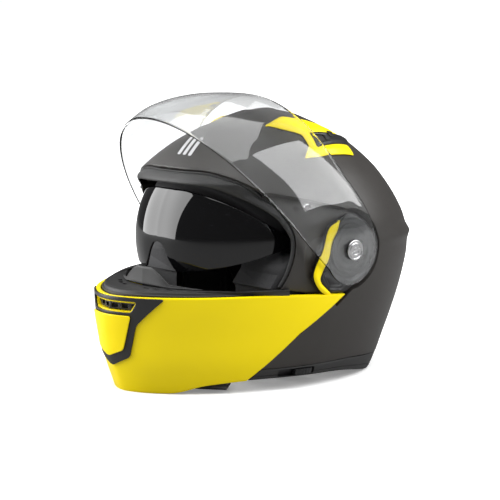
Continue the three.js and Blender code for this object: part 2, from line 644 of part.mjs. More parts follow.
const planShape = (points) => points.map(([x, y]) => [x * stretch.x, y * stretch.y]);
const framePlan = planShape([[41.6, -13], [57, 7], [63.7, 15], [78, 11.5], [88.3, -3.5], [88.5, 20], [86, 44],
  [82, 67.6], [70, 67.6], [76, 42], [80, 20], [61, 27], [57, 50], [53, 73], [44, 49], [39.5, 29.7], [35.5, 11.6]]);
const scoopPlan = planShape([[61.6, 27.6], [79.4, 20.8], [75.4, 42], [69.2, 68], [60, 81], [53.8, 73], [57.8, 50]]);
addPair('crown_vent_frame', layer(-4.2, -0.3).intersect(alongZ(framePlan, ...above)), finish.yellow);
const scoopMouth = alongZ(planShape([[62, 33], [72, 29.5], [69.5, 44], [61, 47]]), ...above);
addPair('crown_vent_scoop', layer(-3.4, -0.3).intersect(alongZ(scoopPlan, ...above)).subtract(scoopMouth),
  finish.plastic);
const shutterPlan = planShape([[61.5, 50], [69, 48], [67.5, 56], [61, 57]]);
addPair('crown_vent_shutter', layer(-5.4, -3.9).intersect(alongZ(shutterPlan, ...above)), finish.plastic);

// ---- Latches: an open hook on the chin bar takes a pin on the shell ----

const aroundLatch = (points) => side(points.map(([y, z]) => [latchAt.y + y, latchAt.z + z]));
const latchPin = { y: latchAt.y * stretch.y, z: latchAt.z * stretch.z };
const strikerBoss = { y: latchPin.y + 26, z: latchPin.z };
const plateWall = 2.4;
const strikerPlate = alongX(aroundLatch([[34, -12], [34, 12], [8, 6], [-5, 4], [-5, -4], [10, -6]]), latchIn,
  latchIn + plateWall);
const striker = strikerPlate.add(disc(latchPin, 3, latchIn + 2, latchIn + 7, 16))
  .add(disc(strikerBoss, 5, latchIn + 2, 103.5, 16));
addPair('latch_striker', striker, finish.steel);
const hookBlock = alongX(aroundLatch([[-11, -8], [-11, 10], [4, 12], [8, 8], [-2, 0], [1, -8]]),
  latchIn + plateWall + runningGap, latchIn + plateWall + runningGap + 3);
addPair('latch_hook', hookBlock.subtract(disc(latchPin, 4.2, 80, 110, 16)), finish.steel);

// ---- Chin strap with a ratchet buckle ----

const strapWidth = [-16, 6];
const strapWall = 2;
function strapRun(points) {
  const curve = new THREE.SplineCurve(points.map(([x, z]) => new THREE.Vector2(x, z)));
  const line = curve.getPoints(12);
  const lower = line.map((p) => [p.x, p.y]);
  const upper = line.map((p, i) => {
    const along = line[Math.min(i + 1, line.length - 1)].clone().sub(line[Math.max(i - 1, 0)]).normalize();
    return [p.x + along.y * strapWall, p.y - along.x * strapWall];
  });
  return alongY([...lower, ...upper.reverse()], ...strapWidth);
}
add('chin_strap_left', strapRun([[87, 31], [82, 20], [66, 10.5], [44, 7], [19, 6.6]]), finish.fabric);
add('chin_strap_right', strapRun([[-20, 9.2], [-44, 9.6], [-66, 12.5], [-82, 21], [-87, 31]]), finish.fabric);
addPair('strap_anchor', box(88.5, 91, -14, 4, 26, 32.5), finish.steel);
const buckleX = [-16, 18];
add('buckle_body', box(...buckleX, -18, 8, 4.2, 6).add(box(buckleX[1] - 3, buckleX[1], -18, 8, 4.2, 13))
  .add(box(buckleX[0], buckleX[1], -18, -16.6, 4.2, 13)).add(box(buckleX[0], buckleX[1], 6.6, 8, 4.2, 13)),
finish.steel);
add('buckle_tongue', box(-19.5, 8, -12, 2, 6.4, 8.4), finish.steel);
add('buckle_lever', box(-15.5, 14, -14.5, 4.5, 9.2, 12.4), finish.red);

// The origin is under the middle of the closed helmet's length
const bounds = new THREE.Box3().setFromObject(group);
group.position.y = -(bounds.min.y + bounds.max.y) / 2;

export default group;
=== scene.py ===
import json
import math
import bpy
import numpy as np
from mathutils import Matrix, Vector

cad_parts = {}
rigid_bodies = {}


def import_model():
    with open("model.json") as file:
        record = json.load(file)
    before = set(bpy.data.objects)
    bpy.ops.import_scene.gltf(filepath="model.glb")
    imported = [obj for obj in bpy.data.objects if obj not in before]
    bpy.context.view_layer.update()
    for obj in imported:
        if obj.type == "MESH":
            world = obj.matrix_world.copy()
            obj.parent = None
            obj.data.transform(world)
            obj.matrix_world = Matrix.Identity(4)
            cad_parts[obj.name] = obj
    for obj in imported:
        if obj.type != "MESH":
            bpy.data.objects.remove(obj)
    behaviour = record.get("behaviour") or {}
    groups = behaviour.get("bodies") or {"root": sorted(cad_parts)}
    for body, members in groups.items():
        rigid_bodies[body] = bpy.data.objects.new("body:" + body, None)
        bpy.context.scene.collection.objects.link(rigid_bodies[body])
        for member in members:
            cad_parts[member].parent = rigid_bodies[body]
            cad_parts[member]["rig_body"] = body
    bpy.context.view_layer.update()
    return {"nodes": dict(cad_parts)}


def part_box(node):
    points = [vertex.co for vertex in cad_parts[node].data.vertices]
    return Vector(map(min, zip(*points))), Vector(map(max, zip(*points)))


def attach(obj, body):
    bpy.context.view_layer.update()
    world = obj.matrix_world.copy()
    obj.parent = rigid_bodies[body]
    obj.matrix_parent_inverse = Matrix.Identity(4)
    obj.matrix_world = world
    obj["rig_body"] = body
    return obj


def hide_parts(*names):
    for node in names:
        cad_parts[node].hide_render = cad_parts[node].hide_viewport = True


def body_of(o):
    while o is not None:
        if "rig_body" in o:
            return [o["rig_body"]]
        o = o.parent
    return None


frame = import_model()

# ---------------------------------------------------------------- Camera, floor and light
# A long lens to the front left of the helmet, a white studio floor, and three wide softboxes: one
# on each side of the view and one over the helmet.
cam_data = bpy.data.cameras.new("camera")
cam_data.lens = 122.4
cam_data.sensor_width = 36
camera = bpy.data.objects.new("camera", cam_data)
bpy.context.scene.collection.objects.link(camera)
aim = Vector((0, 0.0001, 0.120))
azimuth = math.radians(50)
elevation = math.radians(8)
back = Vector((math.sin(azimuth) * math.cos(elevation), -math.cos(azimuth) * math.cos(elevation),
               math.sin(elevation)))
camera_distance = 1.7
camera.location = aim + back * camera_distance
camera.rotation_mode = "QUATERNION"
camera.rotation_quaternion = back.to_track_quat("Z", "Y")
bpy.context.scene.camera = camera


def show_through(tree, lighting, seen, output):
    """One shader lights the scene, another is seen by the camera, also through a clear sheet."""
    rays = tree.nodes.new("ShaderNodeLightPath")
    seen_through = tree.nodes.new("ShaderNodeMath")
    seen_through.operation = "MAXIMUM"
    choice = tree.nodes.new("ShaderNodeMixShader")
    tree.links.new(rays.outputs["Is Camera Ray"], seen_through.inputs[0])
    tree.links.new(rays.outputs["Is Transmission Ray"], seen_through.inputs[1])
    tree.links.new(seen_through.outputs[0], choice.inputs[0])
    tree.links.new(lighting.outputs[0], choice.inputs[1])
    tree.links.new(seen.outputs[0], choice.inputs[2])
    tree.links.new(choice.outputs[0], tree.nodes[output].inputs["Surface"])


bpy.ops.object.select_all(action="DESELECT")
bpy.ops.mesh.primitive_circle_add(vertices=96, radius=12, fill_type="NGON", location=(0, 0, 0))
floor = bpy.context.object
floor.name = "floor"
floor_paint = bpy.data.materials.new("floor_white")
floor_paint.use_nodes = True
nodes = floor_paint.node_tree.nodes
links = floor_paint.node_tree.links
paper = nodes["Principled BSDF"]
paper.inputs["Base Color"].default_value = (0.93, 0.93, 0.93, 1)
paper.inputs["Roughness"].default_value = 0.75
paper.inputs["Emission Color"].default_value = (1, 1, 1, 1)
spot = nodes.new("ShaderNodeTexCoord")
reach = nodes.new("ShaderNodeVectorMath")
reach.operation = "LENGTH"
glow = nodes.new("ShaderNodeMapRange")
glow.inputs["From Min"].default_value = 0.3
glow.inputs["From Max"].default_value = 1.1
glow.inputs["To Min"].default_value = 0.22
glow.inputs["To Max"].default_value = 1.1
links.new(spot.outputs["Object"], reach.inputs[0])
links.new(reach.outputs["Value"], glow.inputs["Value"])
links.new(glow.outputs["Result"], paper.inputs["Emission Strength"])
dim = nodes.new("ShaderNodeBsdfDiffuse")
dim.inputs["Color"].default_value = (0.3, 0.3, 0.3, 1)
show_through(floor_paint.node_tree, dim, paper, "Material Output")
floor.data.materials.append(floor_paint)

world = bpy.data.worlds.new("studio")
world.use_nodes = True
nodes = world.node_tree.nodes
links = world.node_tree.links
nodes["Background"].inputs["Color"].default_value = (1, 1, 1, 1)
nodes["Background"].inputs["Strength"].default_value = 0.5
seen = nodes.new("ShaderNodeBackground")
seen.inputs["Color"].default_value = (1, 1, 1, 1)
seen.inputs["Strength"].default_value = 1.02
rays = nodes.new("ShaderNodeLightPath")
dark = nodes.new("ShaderNodeBackground")
dark.inputs["Color"].default_value = (1, 1, 1, 1)
dark.inputs["Strength"].default_value = 0.12
mirrored = nodes.new("ShaderNodeMixShader")
links.new(rays.outputs["Is Glossy Ray"], mirrored.inputs[0])
links.new(nodes["Background"].outputs[0], mirrored.inputs[1])
links.new(dark.outputs[0], mirrored.inputs[2])
show_through(world.node_tree, mirrored, seen, "World Output")
bpy.context.scene.world = world
bpy.context.scene.view_settings.view_transform = "Standard"


def softbox(name, place, target, width, height, power):
    light = bpy.data.lights.new(name, "AREA")
    light.shape = "RECTANGLE"
    light.size = width
    light.size_y = height
    light.energy = power
    lamp = bpy.data.objects.new(name, light)
    lamp.location = place
    lamp.rotation_mode = "QUATERNION"
    lamp.rotation_quaternion = (Vector(place) - Vector(target)).to_track_quat("Z", "Y")
    bpy.context.scene.collection.objects.link(lamp)


softbox("softbox_left", (-1.75, -1.5, 0.9), (0, 0, 0.12), 2.3, 2.4, 96)
softbox("softbox_top", (0.3, -0.2, 1.9), (0, 0, 0.1), 1.8, 1.8, 34)
softbox("softbox_right", (1.6, 1.4, 1.5), (0, 0, 0.12), 1.9, 1.9, 62)

# ---------------------------------------------------------------- Outer shell
# The hard shell is moulded plastic with a matte black coat: a dome with an eye opening, a recess
# in each temple for the visor and pivots, and a sharp ridge round the back. Sizes in millimetres.
MM = 0.001
pivot_low, pivot_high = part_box("pivot_screw_left")
pivot_y = (pivot_low.y + pivot_high.y) / 2 / MM
pivot_z = (pivot_low.z + pivot_high.z) / 2 / MM
PIVOT = (25.0, 132.0)
SHIFT = pivot_y - PIVOT[0]
FORM_TOP = 262.0
# level, front, back, half width, centre, front power, back power
FORM_SECTIONS = np.array([
    [-20, -148, 115, 98, 2, 1.7, 2.2],
    [0, -154, 131, 103, 2, 1.7, 2.2],
    [25, -163, 143, 110, 2, 1.7, 2.2],
    [55, -168, 155, 117, 6, 1.7, 2.2],
    [90, -170, 168, 123, 10, 1.75, 2.2],
    [115, -165, 174, 126, 14, 1.95, 2.2],
    [135, -155, 177, 127, 16, 2.1, 2.1],
    [160, -141, 168, 124, 18, 2.2, 2.1],
    [185, -119, 151, 114, 20, 2.35, 2.1],
    [208, -96.5, 131, 98, 22, 2.4, 2.1],
    [228, -72, 107, 77, 22, 2.25, 2.1],
    [243, -47, 82, 54, 21, 2.05, 2],
    [254, -19, 57, 34, 20, 2, 2],
])
NEST = np.array([0.0, 14.0, 120.0])


def curve_through(heights, values):
    """Smooth curve through values at given heights, which never overshoots them."""
    heights = np.asarray(heights, float)
    values = np.asarray(values, float)
    rate = np.diff(values) / np.diff(heights)
    product = rate[:-1] * rate[1:]
    total = np.where(product > 0, rate[:-1] + rate[1:], 1)
    slope = np.concatenate([rate[:1], np.where(product > 0, 2 * product / total, 0), rate[-1:]])

    def at(h):
        h = np.asarray(h, float)
        i = np.clip(np.searchsorted(heights, h, side="left") - 1, 0, len(heights) - 2)
        span = heights[i + 1] - heights[i]
        t = (h - heights[i]) / span
        bend = span * t * (1 - t)
        ease = t * t * (3 - 2 * t)
        step = (values[i + 1] - values[i]) * ease
        return values[i] + step + bend * ((1 - t) * slope[i] - t * slope[i + 1])
    return at


def dome_curve(levels, reach):
    """Reach from the centre line, rounding off to nothing at the crown."""
    ratios = np.asarray(reach) / np.sqrt(FORM_TOP - np.asarray(levels))
    ratios = np.append(ratios, ratios[-1] + 0.2 * (ratios[-1] - ratios[-2]))
    ratio = curve_through(np.append(levels, FORM_TOP), ratios)
    return lambda z: ratio(np.minimum(z, FORM_TOP)) * np.sqrt(np.maximum(FORM_TOP - z, 0))


levels = FORM_SECTIONS[:, 0]
with_crown = np.append(levels, FORM_TOP)
form_centre = curve_through(with_crown, np.append(FORM_SECTIONS[:, 4], 19))
form_front_power = curve_through(with_crown, np.append(FORM_SECTIONS[:, 5], 2))
form_back_power = curve_through(with_crown, np.append(FORM_SECTIONS[:, 6], 2))
form_front = dome_curve(levels, FORM_SECTIONS[:, 4] - FORM_SECTIONS[:, 1])
form_back = dome_curve(levels, FORM_SECTIONS[:, 2] - FORM_SECTIONS[:, 4])
form_side = dome_curve(levels, FORM_SECTIONS[:, 3])


def form_radius(z, c, s):
    """Plan distance of the closed helmet from its centre line at a level and a direction."""
    front = c > 0
    power = np.where(front, form_front_power(z), form_back_power(z))
    reach = np.maximum(np.where(front, form_front(z), form_back(z)), 1e-6)
    wide = np.maximum(form_side(z), 1e-6)
    q = (np.abs(c / reach) ** power + np.abs(s / wide) ** power) ** (-1 / power)
    ridge = 5 * c * c * np.maximum(0, 1 - np.abs(z - 137) / 9)
    return np.where(front, q, q + ridge)


def around(turn, z, sink=0.0):
    """Point on the closed helmet at a turn (radians, 0 in front, + to the left) and a level."""
    c = np.cos(turn)
    s = np.sin(turn)
    q = form_radius(z, c, s) - sink
    return np.stack([q * s, form_centre(z) - q * c, z + 0 * q], -1)


def along_rays(directions):
    """Where rays from the middle of the helmet meet its form."""
    low = np.zeros(len(directions))
    high = np.full(len(directions), 260.0)
    for _ in range(36):
        mid = (low + high) / 2
        p = NEST + directions * mid[:, None]
        x = p[:, 0]
        y = form_centre(np.minimum(p[:, 2], FORM_TOP)) - p[:, 1]
        plan = np.maximum(np.hypot(x, y), 1e-9)
        level = np.minimum(p[:, 2], FORM_TOP - 1e-6)
        outside = (p[:, 2] >= FORM_TOP) | (plan > form_radius(level, y / plan, x / plan))
        high = np.where(outside, mid, high)
        low = np.where(outside, low, mid)
    return NEST + directions * ((low + high) / 2)[:, None]


def side_x(y, z):
    """Half width of the closed helmet at a place in the side view."""
    forward = form_centre(z) - y
    front = forward > 0
    power = np.where(front, form_front_power(z), form_back_power(z))
    reach = np.where(front, form_front(z), form_back(z))
    share = np.clip(1 - np.abs(forward / reach) ** power, 0, 1)
    return form_side(z) * share ** (1 / power)


def front_y(x, z):
    """Front of the closed helmet at a place in the front view."""
    power = form_front_power(z)
    share = np.clip(1 - np.abs(x / form_side(z)) ** power, 0, 1)
    return form_centre(z) - form_front(z) * share ** (1 / power)


def top_z(x, y):
    """Height of the closed helmet at a place in the plan."""
    low = np.full(np.shape(x), 135.0)
    high = np.full(np.shape(x), FORM_TOP)
    for _ in range(30):
        mid = (low + high) / 2
        forward = form_centre(mid) - y
        plan = np.maximum(np.hypot(x, forward), 1e-9)
        outside = plan > form_radius(np.minimum(mid, FORM_TOP - 1e-6), forward / plan, x / plan)
        high = np.where(outside, mid, high)
        low = np.where(outside, low, mid)
    return (low + high) / 2


def curve_points(points, step=1.5):
    """A smooth line through the points, with a point about every step."""
    points = np.asarray(points, float)
    gap = np.linalg.norm(np.diff(points, axis=0), axis=1)
    length = np.concatenate([[0], np.cumsum(gap)])
    rate = np.diff(points, axis=0) / gap[:, None]
    slope = rate[:1]
    if len(points) > 2:
        inner = (rate[:-1] * gap[1:, None] + rate[1:] * gap[:-1, None]) / (gap[1:] + gap[:-1])[:, None]
        slope = np.vstack([slope, inner])
    slope = np.vstack([slope, rate[-1:]])
    at = np.linspace(0, length[-1], max(2, int(length[-1] / step) + 1))
    i = np.clip(np.searchsorted(length, at, side="right") - 1, 0, len(points) - 2)
    t = ((at - length[i]) / gap[i])[:, None]
    span = gap[i][:, None]
    return (points[i] * (1 + 2 * t) * (1 - t) ** 2 + points[i + 1] * t * t * (3 - 2 * t)
            + slope[i] * span * t * (1 - t) ** 2 - slope[i + 1] * span * t * t * (1 - t))


def outline_of(*runs):
    """A closed outline from runs of points, with a corner wherever two runs meet."""
    points = []
    corners = []
    for run in runs:
        corners.append(len(points))
        points.extend(np.asarray(run, float)[:-1])
    return np.array(points), corners


def nearest_on(outline, points):
    """For each point, the nearest point on a closed outline."""
    a = outline
    b = np.roll(outline, -1, axis=0)
    d = b - a
    size = np.maximum((d * d).sum(1), 1e-12)
    best = np.empty_like(points)
    for k, p in enumerate(points):
        t = np.clip(((p - a) * d).sum(1) / size, 0, 1)
        q = a + d * t[:, None]
        best[k] = q[((q - p) ** 2).sum(1).argmin()]
    return best


def is_inside(outline, u, v):
    """Even-odd test of points against a closed outline."""
    inside = np.zeros(len(u), bool)
    a = outline
    b = np.roll(outline, -1, axis=0)
    for (x0, y0), (x1, y1) in zip(a, b):
        if y0 == y1:
            continue
        crosses = (y0 > v) != (y1 > v)
        inside ^= crosses & (u < (x1 - x0) * (v - y0) / (y1 - y0) + x0)
    return inside


def coordinates(mesh, field="co"):
    """The places of a mesh's vertices, or their normals, as rows of x, y, z."""
    at = np.empty(len(mesh.vertices) * 3)
    mesh.vertices.foreach_get(field, at)
    return at.reshape(-1, 3)


def cut_sheet(name, outlines, cell):
    """A flat grid cut to outlines: the cells outside go, and the cut edge is drawn onto the outline."""
    every = np.vstack([points for points, corners in outlines])
    low = every.min(0) - cell
    high = every.max(0) + cell
    count = np.ceil((high - low) / cell).astype(int)
    bpy.ops.object.select_all(action="DESELECT")
    bpy.ops.mesh.primitive_grid_add(x_subdivisions=int(count[0]), y_subdivisions=int(count[1]), size=1)
    piece = bpy.context.object
    piece.name = name
    mesh = piece.data
    at = coordinates(mesh)
    at[:, :2] = low + (at[:, :2] + 0.5) * (high - low)
    mesh.vertices.foreach_set("co", at.ravel())
    corners_of = np.empty(len(mesh.polygons) * 4, int)
    mesh.polygons.foreach_get("vertices", corners_of)
    middle = at[corners_of.reshape(-1, 4), :2].mean(1)
    keep = np.zeros(len(middle), bool)
    for points, corners in outlines:
        keep ^= is_inside(points, middle[:, 0], middle[:, 1])
    bpy.ops.object.mode_set(mode="EDIT")
    bpy.ops.mesh.select_mode(type="FACE")
    bpy.ops.mesh.select_all(action="DESELECT")
    bpy.ops.object.mode_set(mode="OBJECT")
    mesh.polygons.foreach_set("select", ~keep)
    bpy.ops.object.mode_set(mode="EDIT")
    bpy.ops.mesh.delete(type="FACE")
    bpy.ops.mesh.select_mode(type="VERT")
    bpy.ops.object.mode_set(mode="OBJECT")
    draw_edge_to(mesh, outlines, cell)
    return piece


def draw_edge_to(mesh, outlines, cell):
    at = coordinates(mesh)
    flat = at[:, :2].copy()
    ends = np.empty(len(mesh.edges) * 2, int)
    mesh.edges.foreach_get("vertices", ends)
    ends = ends.reshape(-1, 2)
    uses = {}
    for polygon in mesh.polygons:
        for key in polygon.edge_keys:
            uses[key] = uses.get(key, 0) + 1
    free = np.array([uses[tuple(sorted(pair))] == 1 for pair in ends.tolist()])
    border = np.unique(ends[free])
    on_border = np.zeros(len(flat), bool)
    on_border[border] = True
    every = np.vstack([points for points, corners in outlines])
    loop_of = np.concatenate([[k] * len(points) for k, (points, corners) in enumerate(outlines)])
    owner = np.array([loop_of[((every - flat[v]) ** 2).sum(1).argmin()] for v in border])
    fixed = {}
    for k, (points, corners) in enumerate(outlines):
        mine = border[owner == k]
        for corner in corners:
            if len(mine):
                fixed[int(mine[((flat[mine] - points[corner]) ** 2).sum(1).argmin()])] = points[corner]
    pinned = np.array(sorted(fixed), int)
    edge_pairs = ends[free]
    for turn in range(5):
        for k, (points, corners) in enumerate(outlines):
            mine = border[owner == k]
            if len(mine):
                flat[mine] = nearest_on(points, flat[mine])
        for v in pinned:
            flat[v] = fixed[int(v)]
        if turn == 4:
            break
        pull = np.zeros_like(flat)
        count = np.zeros(len(flat))
        for a, b in ((0, 1), (1, 0)):
            np.add.at(pull, edge_pairs[:, a], flat[edge_pairs[:, b]])
            np.add.at(count, edge_pairs[:, a], 1)
        flat[border] = 0.5 * flat[border] + 0.5 * pull[border] / count[border][:, None]
    for _ in range(6):
        pull = np.zeros_like(flat)
        count = np.zeros(len(flat))
        for a, b in ((0, 1), (1, 0)):
            np.add.at(pull, ends[:, a], flat[ends[:, b]])
            np.add.at(count, ends[:, a], 1)
        smooth = pull / np.maximum(count, 1)[:, None]
        flat[~on_border] = smooth[~on_border]
    at[:, :2] = flat
    mesh.vertices.foreach_set("co", at.ravel())
    mesh.update()


def lay(piece, mapping):
    """Lays a flat cut sheet onto a surface: mapping gives drawn millimetres for each flat place."""
    mesh = piece.data
    at = coordinates(mesh)
    place = np.asarray(mapping(at[:, 0], at[:, 1]), float)
    place[:, 1] += SHIFT
    mesh.vertices.foreach_set("co", (place * MM).ravel())
    mesh.update()


def pick(piece):
    bpy.ops.object.select_all(action="DESELECT")
    piece.select_set(True)
    bpy.context.view_layer.objects.active = piece


def apply_modifier(piece, kind, **settings):
    pick(piece)
    modifier = piece.modifiers.new(kind.lower(), kind)
    for key, value in settings.items():
        setattr(modifier, key, value)
    bpy.ops.object.modifier_apply(modifier=modifier.name)


def sink(piece, depth):
    """Moves a surface in along its normals, in millimetres, or out by a negative depth."""
    mesh = piece.data
    at = coordinates(mesh) - coordinates(mesh, "normal") * depth * MM
    mesh.vertices.foreach_set("co", at.ravel())
    mesh.update()


def face_outward(piece, inside_point):
    """Turns a surface so that its faces look away from a point inside it."""
    mesh = piece.data
    total = sum((p.center - Vector(inside_point)).dot(p.normal) * p.area for p in mesh.polygons)
    if total < 0:
        mesh.flip_normals()


def wall(piece, thickness, edge=0.5, segments=2, limit=40):
    """Gives a surface its wall thickness inward and rounds the edges of the cut."""
    apply_modifier(piece, "SOLIDIFY", thickness=thickness * MM, offset=-1, use_even_offset=False)
    if edge:
        apply_modifier(piece, "BEVEL", width=edge * MM, segments=segments, limit_method="ANGLE",
                       angle_limit=math.radians(limit), use_clamp_overlap=True)
    smooth(piece)


def smooth(piece, angle=35):
    pick(piece)
    bpy.ops.object.shade_smooth_by_angle(angle=math.radians(angle))


def mirror_copy(piece, name):
    """The same piece for the right side, with its own mesh."""
    copy = piece.copy()
    copy.data = piece.data.copy()
    copy.name = name
    bpy.context.scene.collection.objects.link(copy)
    copy.data.transform(Matrix.Diagonal((-1, 1, 1, 1)))
    copy.data.flip_normals()
    return copy


def finish_piece(piece, material, slot, body, *nodes):
    piece.data.materials.clear()
    piece.data.materials.append(material)
    if nodes:
        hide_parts(*nodes)
    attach(piece, body)
    return piece


MIDDLE = (0, (14 + SHIFT) * MM, 0.12)


def make_material(name, colour, roughness, **sockets):
    material = bpy.data.materials.new(name)
    material.use_nodes = True
    shader = material.node_tree.nodes["Principled BSDF"]
    shader.inputs["Base Color"].default_value = (*colour, 1)
    shader.inputs["Roughness"].default_value = roughness
    for key, value in sockets.items():
        shader.inputs[key.replace("_", " ")].default_value = value
    return material


def add_grain(material, scale, depth, detail=3, tint=0.0, rough=0.0):
    """Fine moulded grain as bump, with a little change of colour and roughness over the surface."""
    nodes = material.node_tree.nodes
    links = material.node_tree.links
    shader = nodes["Principled BSDF"]
    place = nodes.new("ShaderNodeTexCoord")
    grain = nodes.new("ShaderNodeTexNoise")
    grain.inputs["Scale"].default_value = scale
    grain.inputs["Detail"].default_value = detail
    links.new(place.outputs["Object"], grain.inputs["Vector"])
    bump = nodes.new("ShaderNodeBump")
    bump.inputs["Strength"].default_value = 1
    bump.inputs["Distance"].default_value = depth
    links.new(grain.outputs["Fac"], bump.inputs["Height"])
    links.new(bump.outputs["Normal"], shader.inputs["Normal"])
    cloud = nodes.new("ShaderNodeTexNoise")
    cloud.inputs["Scale"].default_value = 22
    cloud.inputs["Detail"].default_value = 5
    links.new(place.outputs["Object"], cloud.inputs["Vector"])
    if tint:
        base = shader.inputs["Base Color"].default_value[:]
        mix = nodes.new("ShaderNodeMix")
        mix.data_type = "RGBA"
        mix.inputs[6].default_value = tuple(c * (1 - tint) for c in base[:3]) + (1,)
        mix.inputs[7].default_value = tuple(min(1, c * (1 + tint)) for c in base[:3]) + (1,)
        links.new(cloud.outputs["Fac"], mix.inputs[0])
        links.new(mix.outputs[2], shader.inputs["Base Color"])
    if rough:
        level = shader.inputs["Roughness"].default_value
        span = nodes.new("ShaderNodeMapRange")
        span.inputs["To Min"].default_value = level - rough
        span.inputs["To Max"].default_value = level + rough
        links.new(cloud.outputs["Fac"], span.inputs["Value"])
        links.new(span.outputs["Result"], shader.inputs["Roughness"])
    return material


shell_black = make_material("shell_black", (0.030, 0.027, 0.0245), 0.45)
add_grain(shell_black, 2600, 0.00003, tint=0.12, rough=0.04)
POLE = np.array([0.0, 0.55, 0.835])
POLE_SIDE = np.array([1.0, 0.0, 0.0])
POLE_FRONT = np.cross(POLE, POLE_SIDE)
DOME_RADIUS = 130.0


def dome_place(u, v):
    """Flat map of the whole dome about a pole high at the back: distance and bearing become u, v."""
    far = np.hypot(u, v)
    angle = far / DOME_RADIUS
    su = np.divide(u, far, out=np.zeros_like(far), where=far > 0)
    sv = np.divide(v, far, out=np.zeros_like(far), where=far > 0)
    ray = (POLE * np.cos(angle)[:, None] + (POLE_SIDE * su[:, None] + POLE_FRONT * sv[:, None])
           * np.sin(angle)[:, None])
    return along_rays(ray)


def dome_flat(points):
    ray = points - NEST
    ray = ray / np.linalg.norm(ray, axis=1)[:, None]
    angle = np.arccos(np.clip(ray @ POLE, -1, 1))
    a = ray @ POLE_SIDE
    b = ray @ POLE_FRONT
    plan = np.maximum(np.hypot(a, b), 1e-9)
    return np.stack([angle * DOME_RADIUS * a / plan, angle * DOME_RADIUS * b / plan], -1)


def on_side(points):
    """Side view points (y, z) carried onto the left of the helmet."""
    points = np.asarray(points, float)
    return np.column_stack([side_x(points[:, 0], points[:, 1]), points])


EYEPORT_EDGE = [[-95.8, 208.5], [-90, 208.5], [-80, 204], [-66, 194.5], [-53.5, 183], [-45, 169],
                [-38, 150], [-39, 130], [-44, 112], [-50, 99]]
SHELL_CHIN_EDGE = [[-50, 99], [-22, 93.8], [20.4, 90.2]]
SHELL_DIAGONAL = [[20.4, 90.2], [-27.8, 55.3], [-62.7, 23]]
SHELL_BOTTOM = [[-62.7, 23], [0, 23], [40, 23], [88, 18.9], [125, 15.6], [141.4, 14.4]]
port = on_side(curve_points(EYEPORT_EDGE, 0.7))
port[0, 0] = 0
chin_side = on_side(curve_points(SHELL_CHIN_EDGE, 1.5))
diagonal = on_side(curve_points(SHELL_DIAGONAL, 1.5))
bottom = on_side(curve_points(SHELL_BOTTOM, 0.5))
bottom[-1, 0] = 0
left_runs = [dome_flat(run) for run in (port, chin_side, diagonal, bottom)]
mirror = np.array([-1.0, 1.0])
right_runs = [run[::-1] * mirror for run in left_runs[::-1]]
shell_outline, shell_corners = outline_of(*left_runs, *right_runs)
shell_corners = shell_corners[1:4] + shell_corners[5:8]


def region_group(piece, name, outline):
    """Marks the faces inside an outline and draws the border of that region onto it."""
    mesh = piece.data
    at = coordinates(mesh)
    flat = at[:, :2]
    middle = np.array([flat[list(p.vertices)].mean(0) for p in mesh.polygons])
    inside = is_inside(outline, middle[:, 0], middle[:, 1])
    sides = {}
    for polygon, flag in zip(mesh.polygons, inside):
        for key in polygon.edge_keys:
            sides.setdefault(key, []).append(bool(flag))
    border = sorted({v for key,
                     flags in sides.items() if len(flags) == 2 and flags[0] != flags[1] for v in key})
    rim = {v for key, flags in sides.items() if len(flags) == 1 for v in key}
    border = np.array([v for v in border if v not in rim], int)
    flat[border] = nearest_on(outline, flat[border])
    mesh.vertices.foreach_set("co", at.ravel())
    mark = mesh.attributes.new(name, "BOOLEAN", "FACE")
    mark.data.foreach_set("value", inside)


def push_region(piece, name, pushed):
    """Extrudes a marked region and moves it by a function of drawn millimetres."""
    mesh = piece.data
    flags = np.empty(len(mesh.polygons), bool)
    mesh.attributes[name].data.foreach_get("value", flags)
    pick(piece)
    bpy.ops.object.mode_set(mode="EDIT")
    bpy.ops.mesh.select_mode(type="FACE")
    bpy.ops.mesh.select_all(action="DESELECT")
    bpy.ops.object.mode_set(mode="OBJECT")
    mesh.polygons.foreach_set("select", flags)
    old = {v for p, flag in zip(mesh.polygons, flags) if flag for v in p.vertices}
    kept = {v for p, flag in zip(mesh.polygons, flags) if not flag for v in p.vertices}
    left_behind = {tuple(round(c, 7) for c in mesh.vertices[v].co) for v in old - kept}
    bpy.ops.object.mode_set(mode="EDIT")
    bpy.ops.mesh.extrude_region()
    bpy.ops.object.mode_set(mode="OBJECT")
    spare = [v.index for v in mesh.vertices
             if not v.select and tuple(round(c, 7) for c in v.co) in left_behind]
    for vertex in mesh.vertices:
        if vertex.select:
            drawn = np.array(vertex.co) / MM - (0, SHIFT, 0)
            vertex.co = Vector((pushed(drawn) + (0, SHIFT, 0)) * MM)
    bpy.ops.object.mode_set(mode="EDIT")
    bpy.ops.mesh.select_mode(type="VERT")
    bpy.ops.mesh.select_all(action="DESELECT")
    bpy.ops.object.mode_set(mode="OBJECT")
    for index in spare:
        mesh.vertices[index].select = True
    bpy.ops.object.mode_set(mode="EDIT")
    bpy.ops.mesh.delete(type="VERT")
    bpy.ops.object.mode_set(mode="OBJECT")


# Half width, half length and height over the nest of the closed helmet
FORM_HALF_SIZE = np.array([127, 173.5, 142])
TEMPLE_DEPTH = 7.5
TEMPLE_HALF_WIDTH = 115
TEMPLE_FLAT_RADIUS = 52
TEMPLE_DISC_RADIUS = 39.5


def draw_in(points, depth):
    """The form's own scaling, which draws a point in by a depth."""
    scale = 1 - depth / FORM_HALF_SIZE
    out = NEST + (points - NEST) * scale
    low = points[..., 2] < NEST[2]
    out[..., 2] = np.where(low, points[..., 2], out[..., 2])
    return out


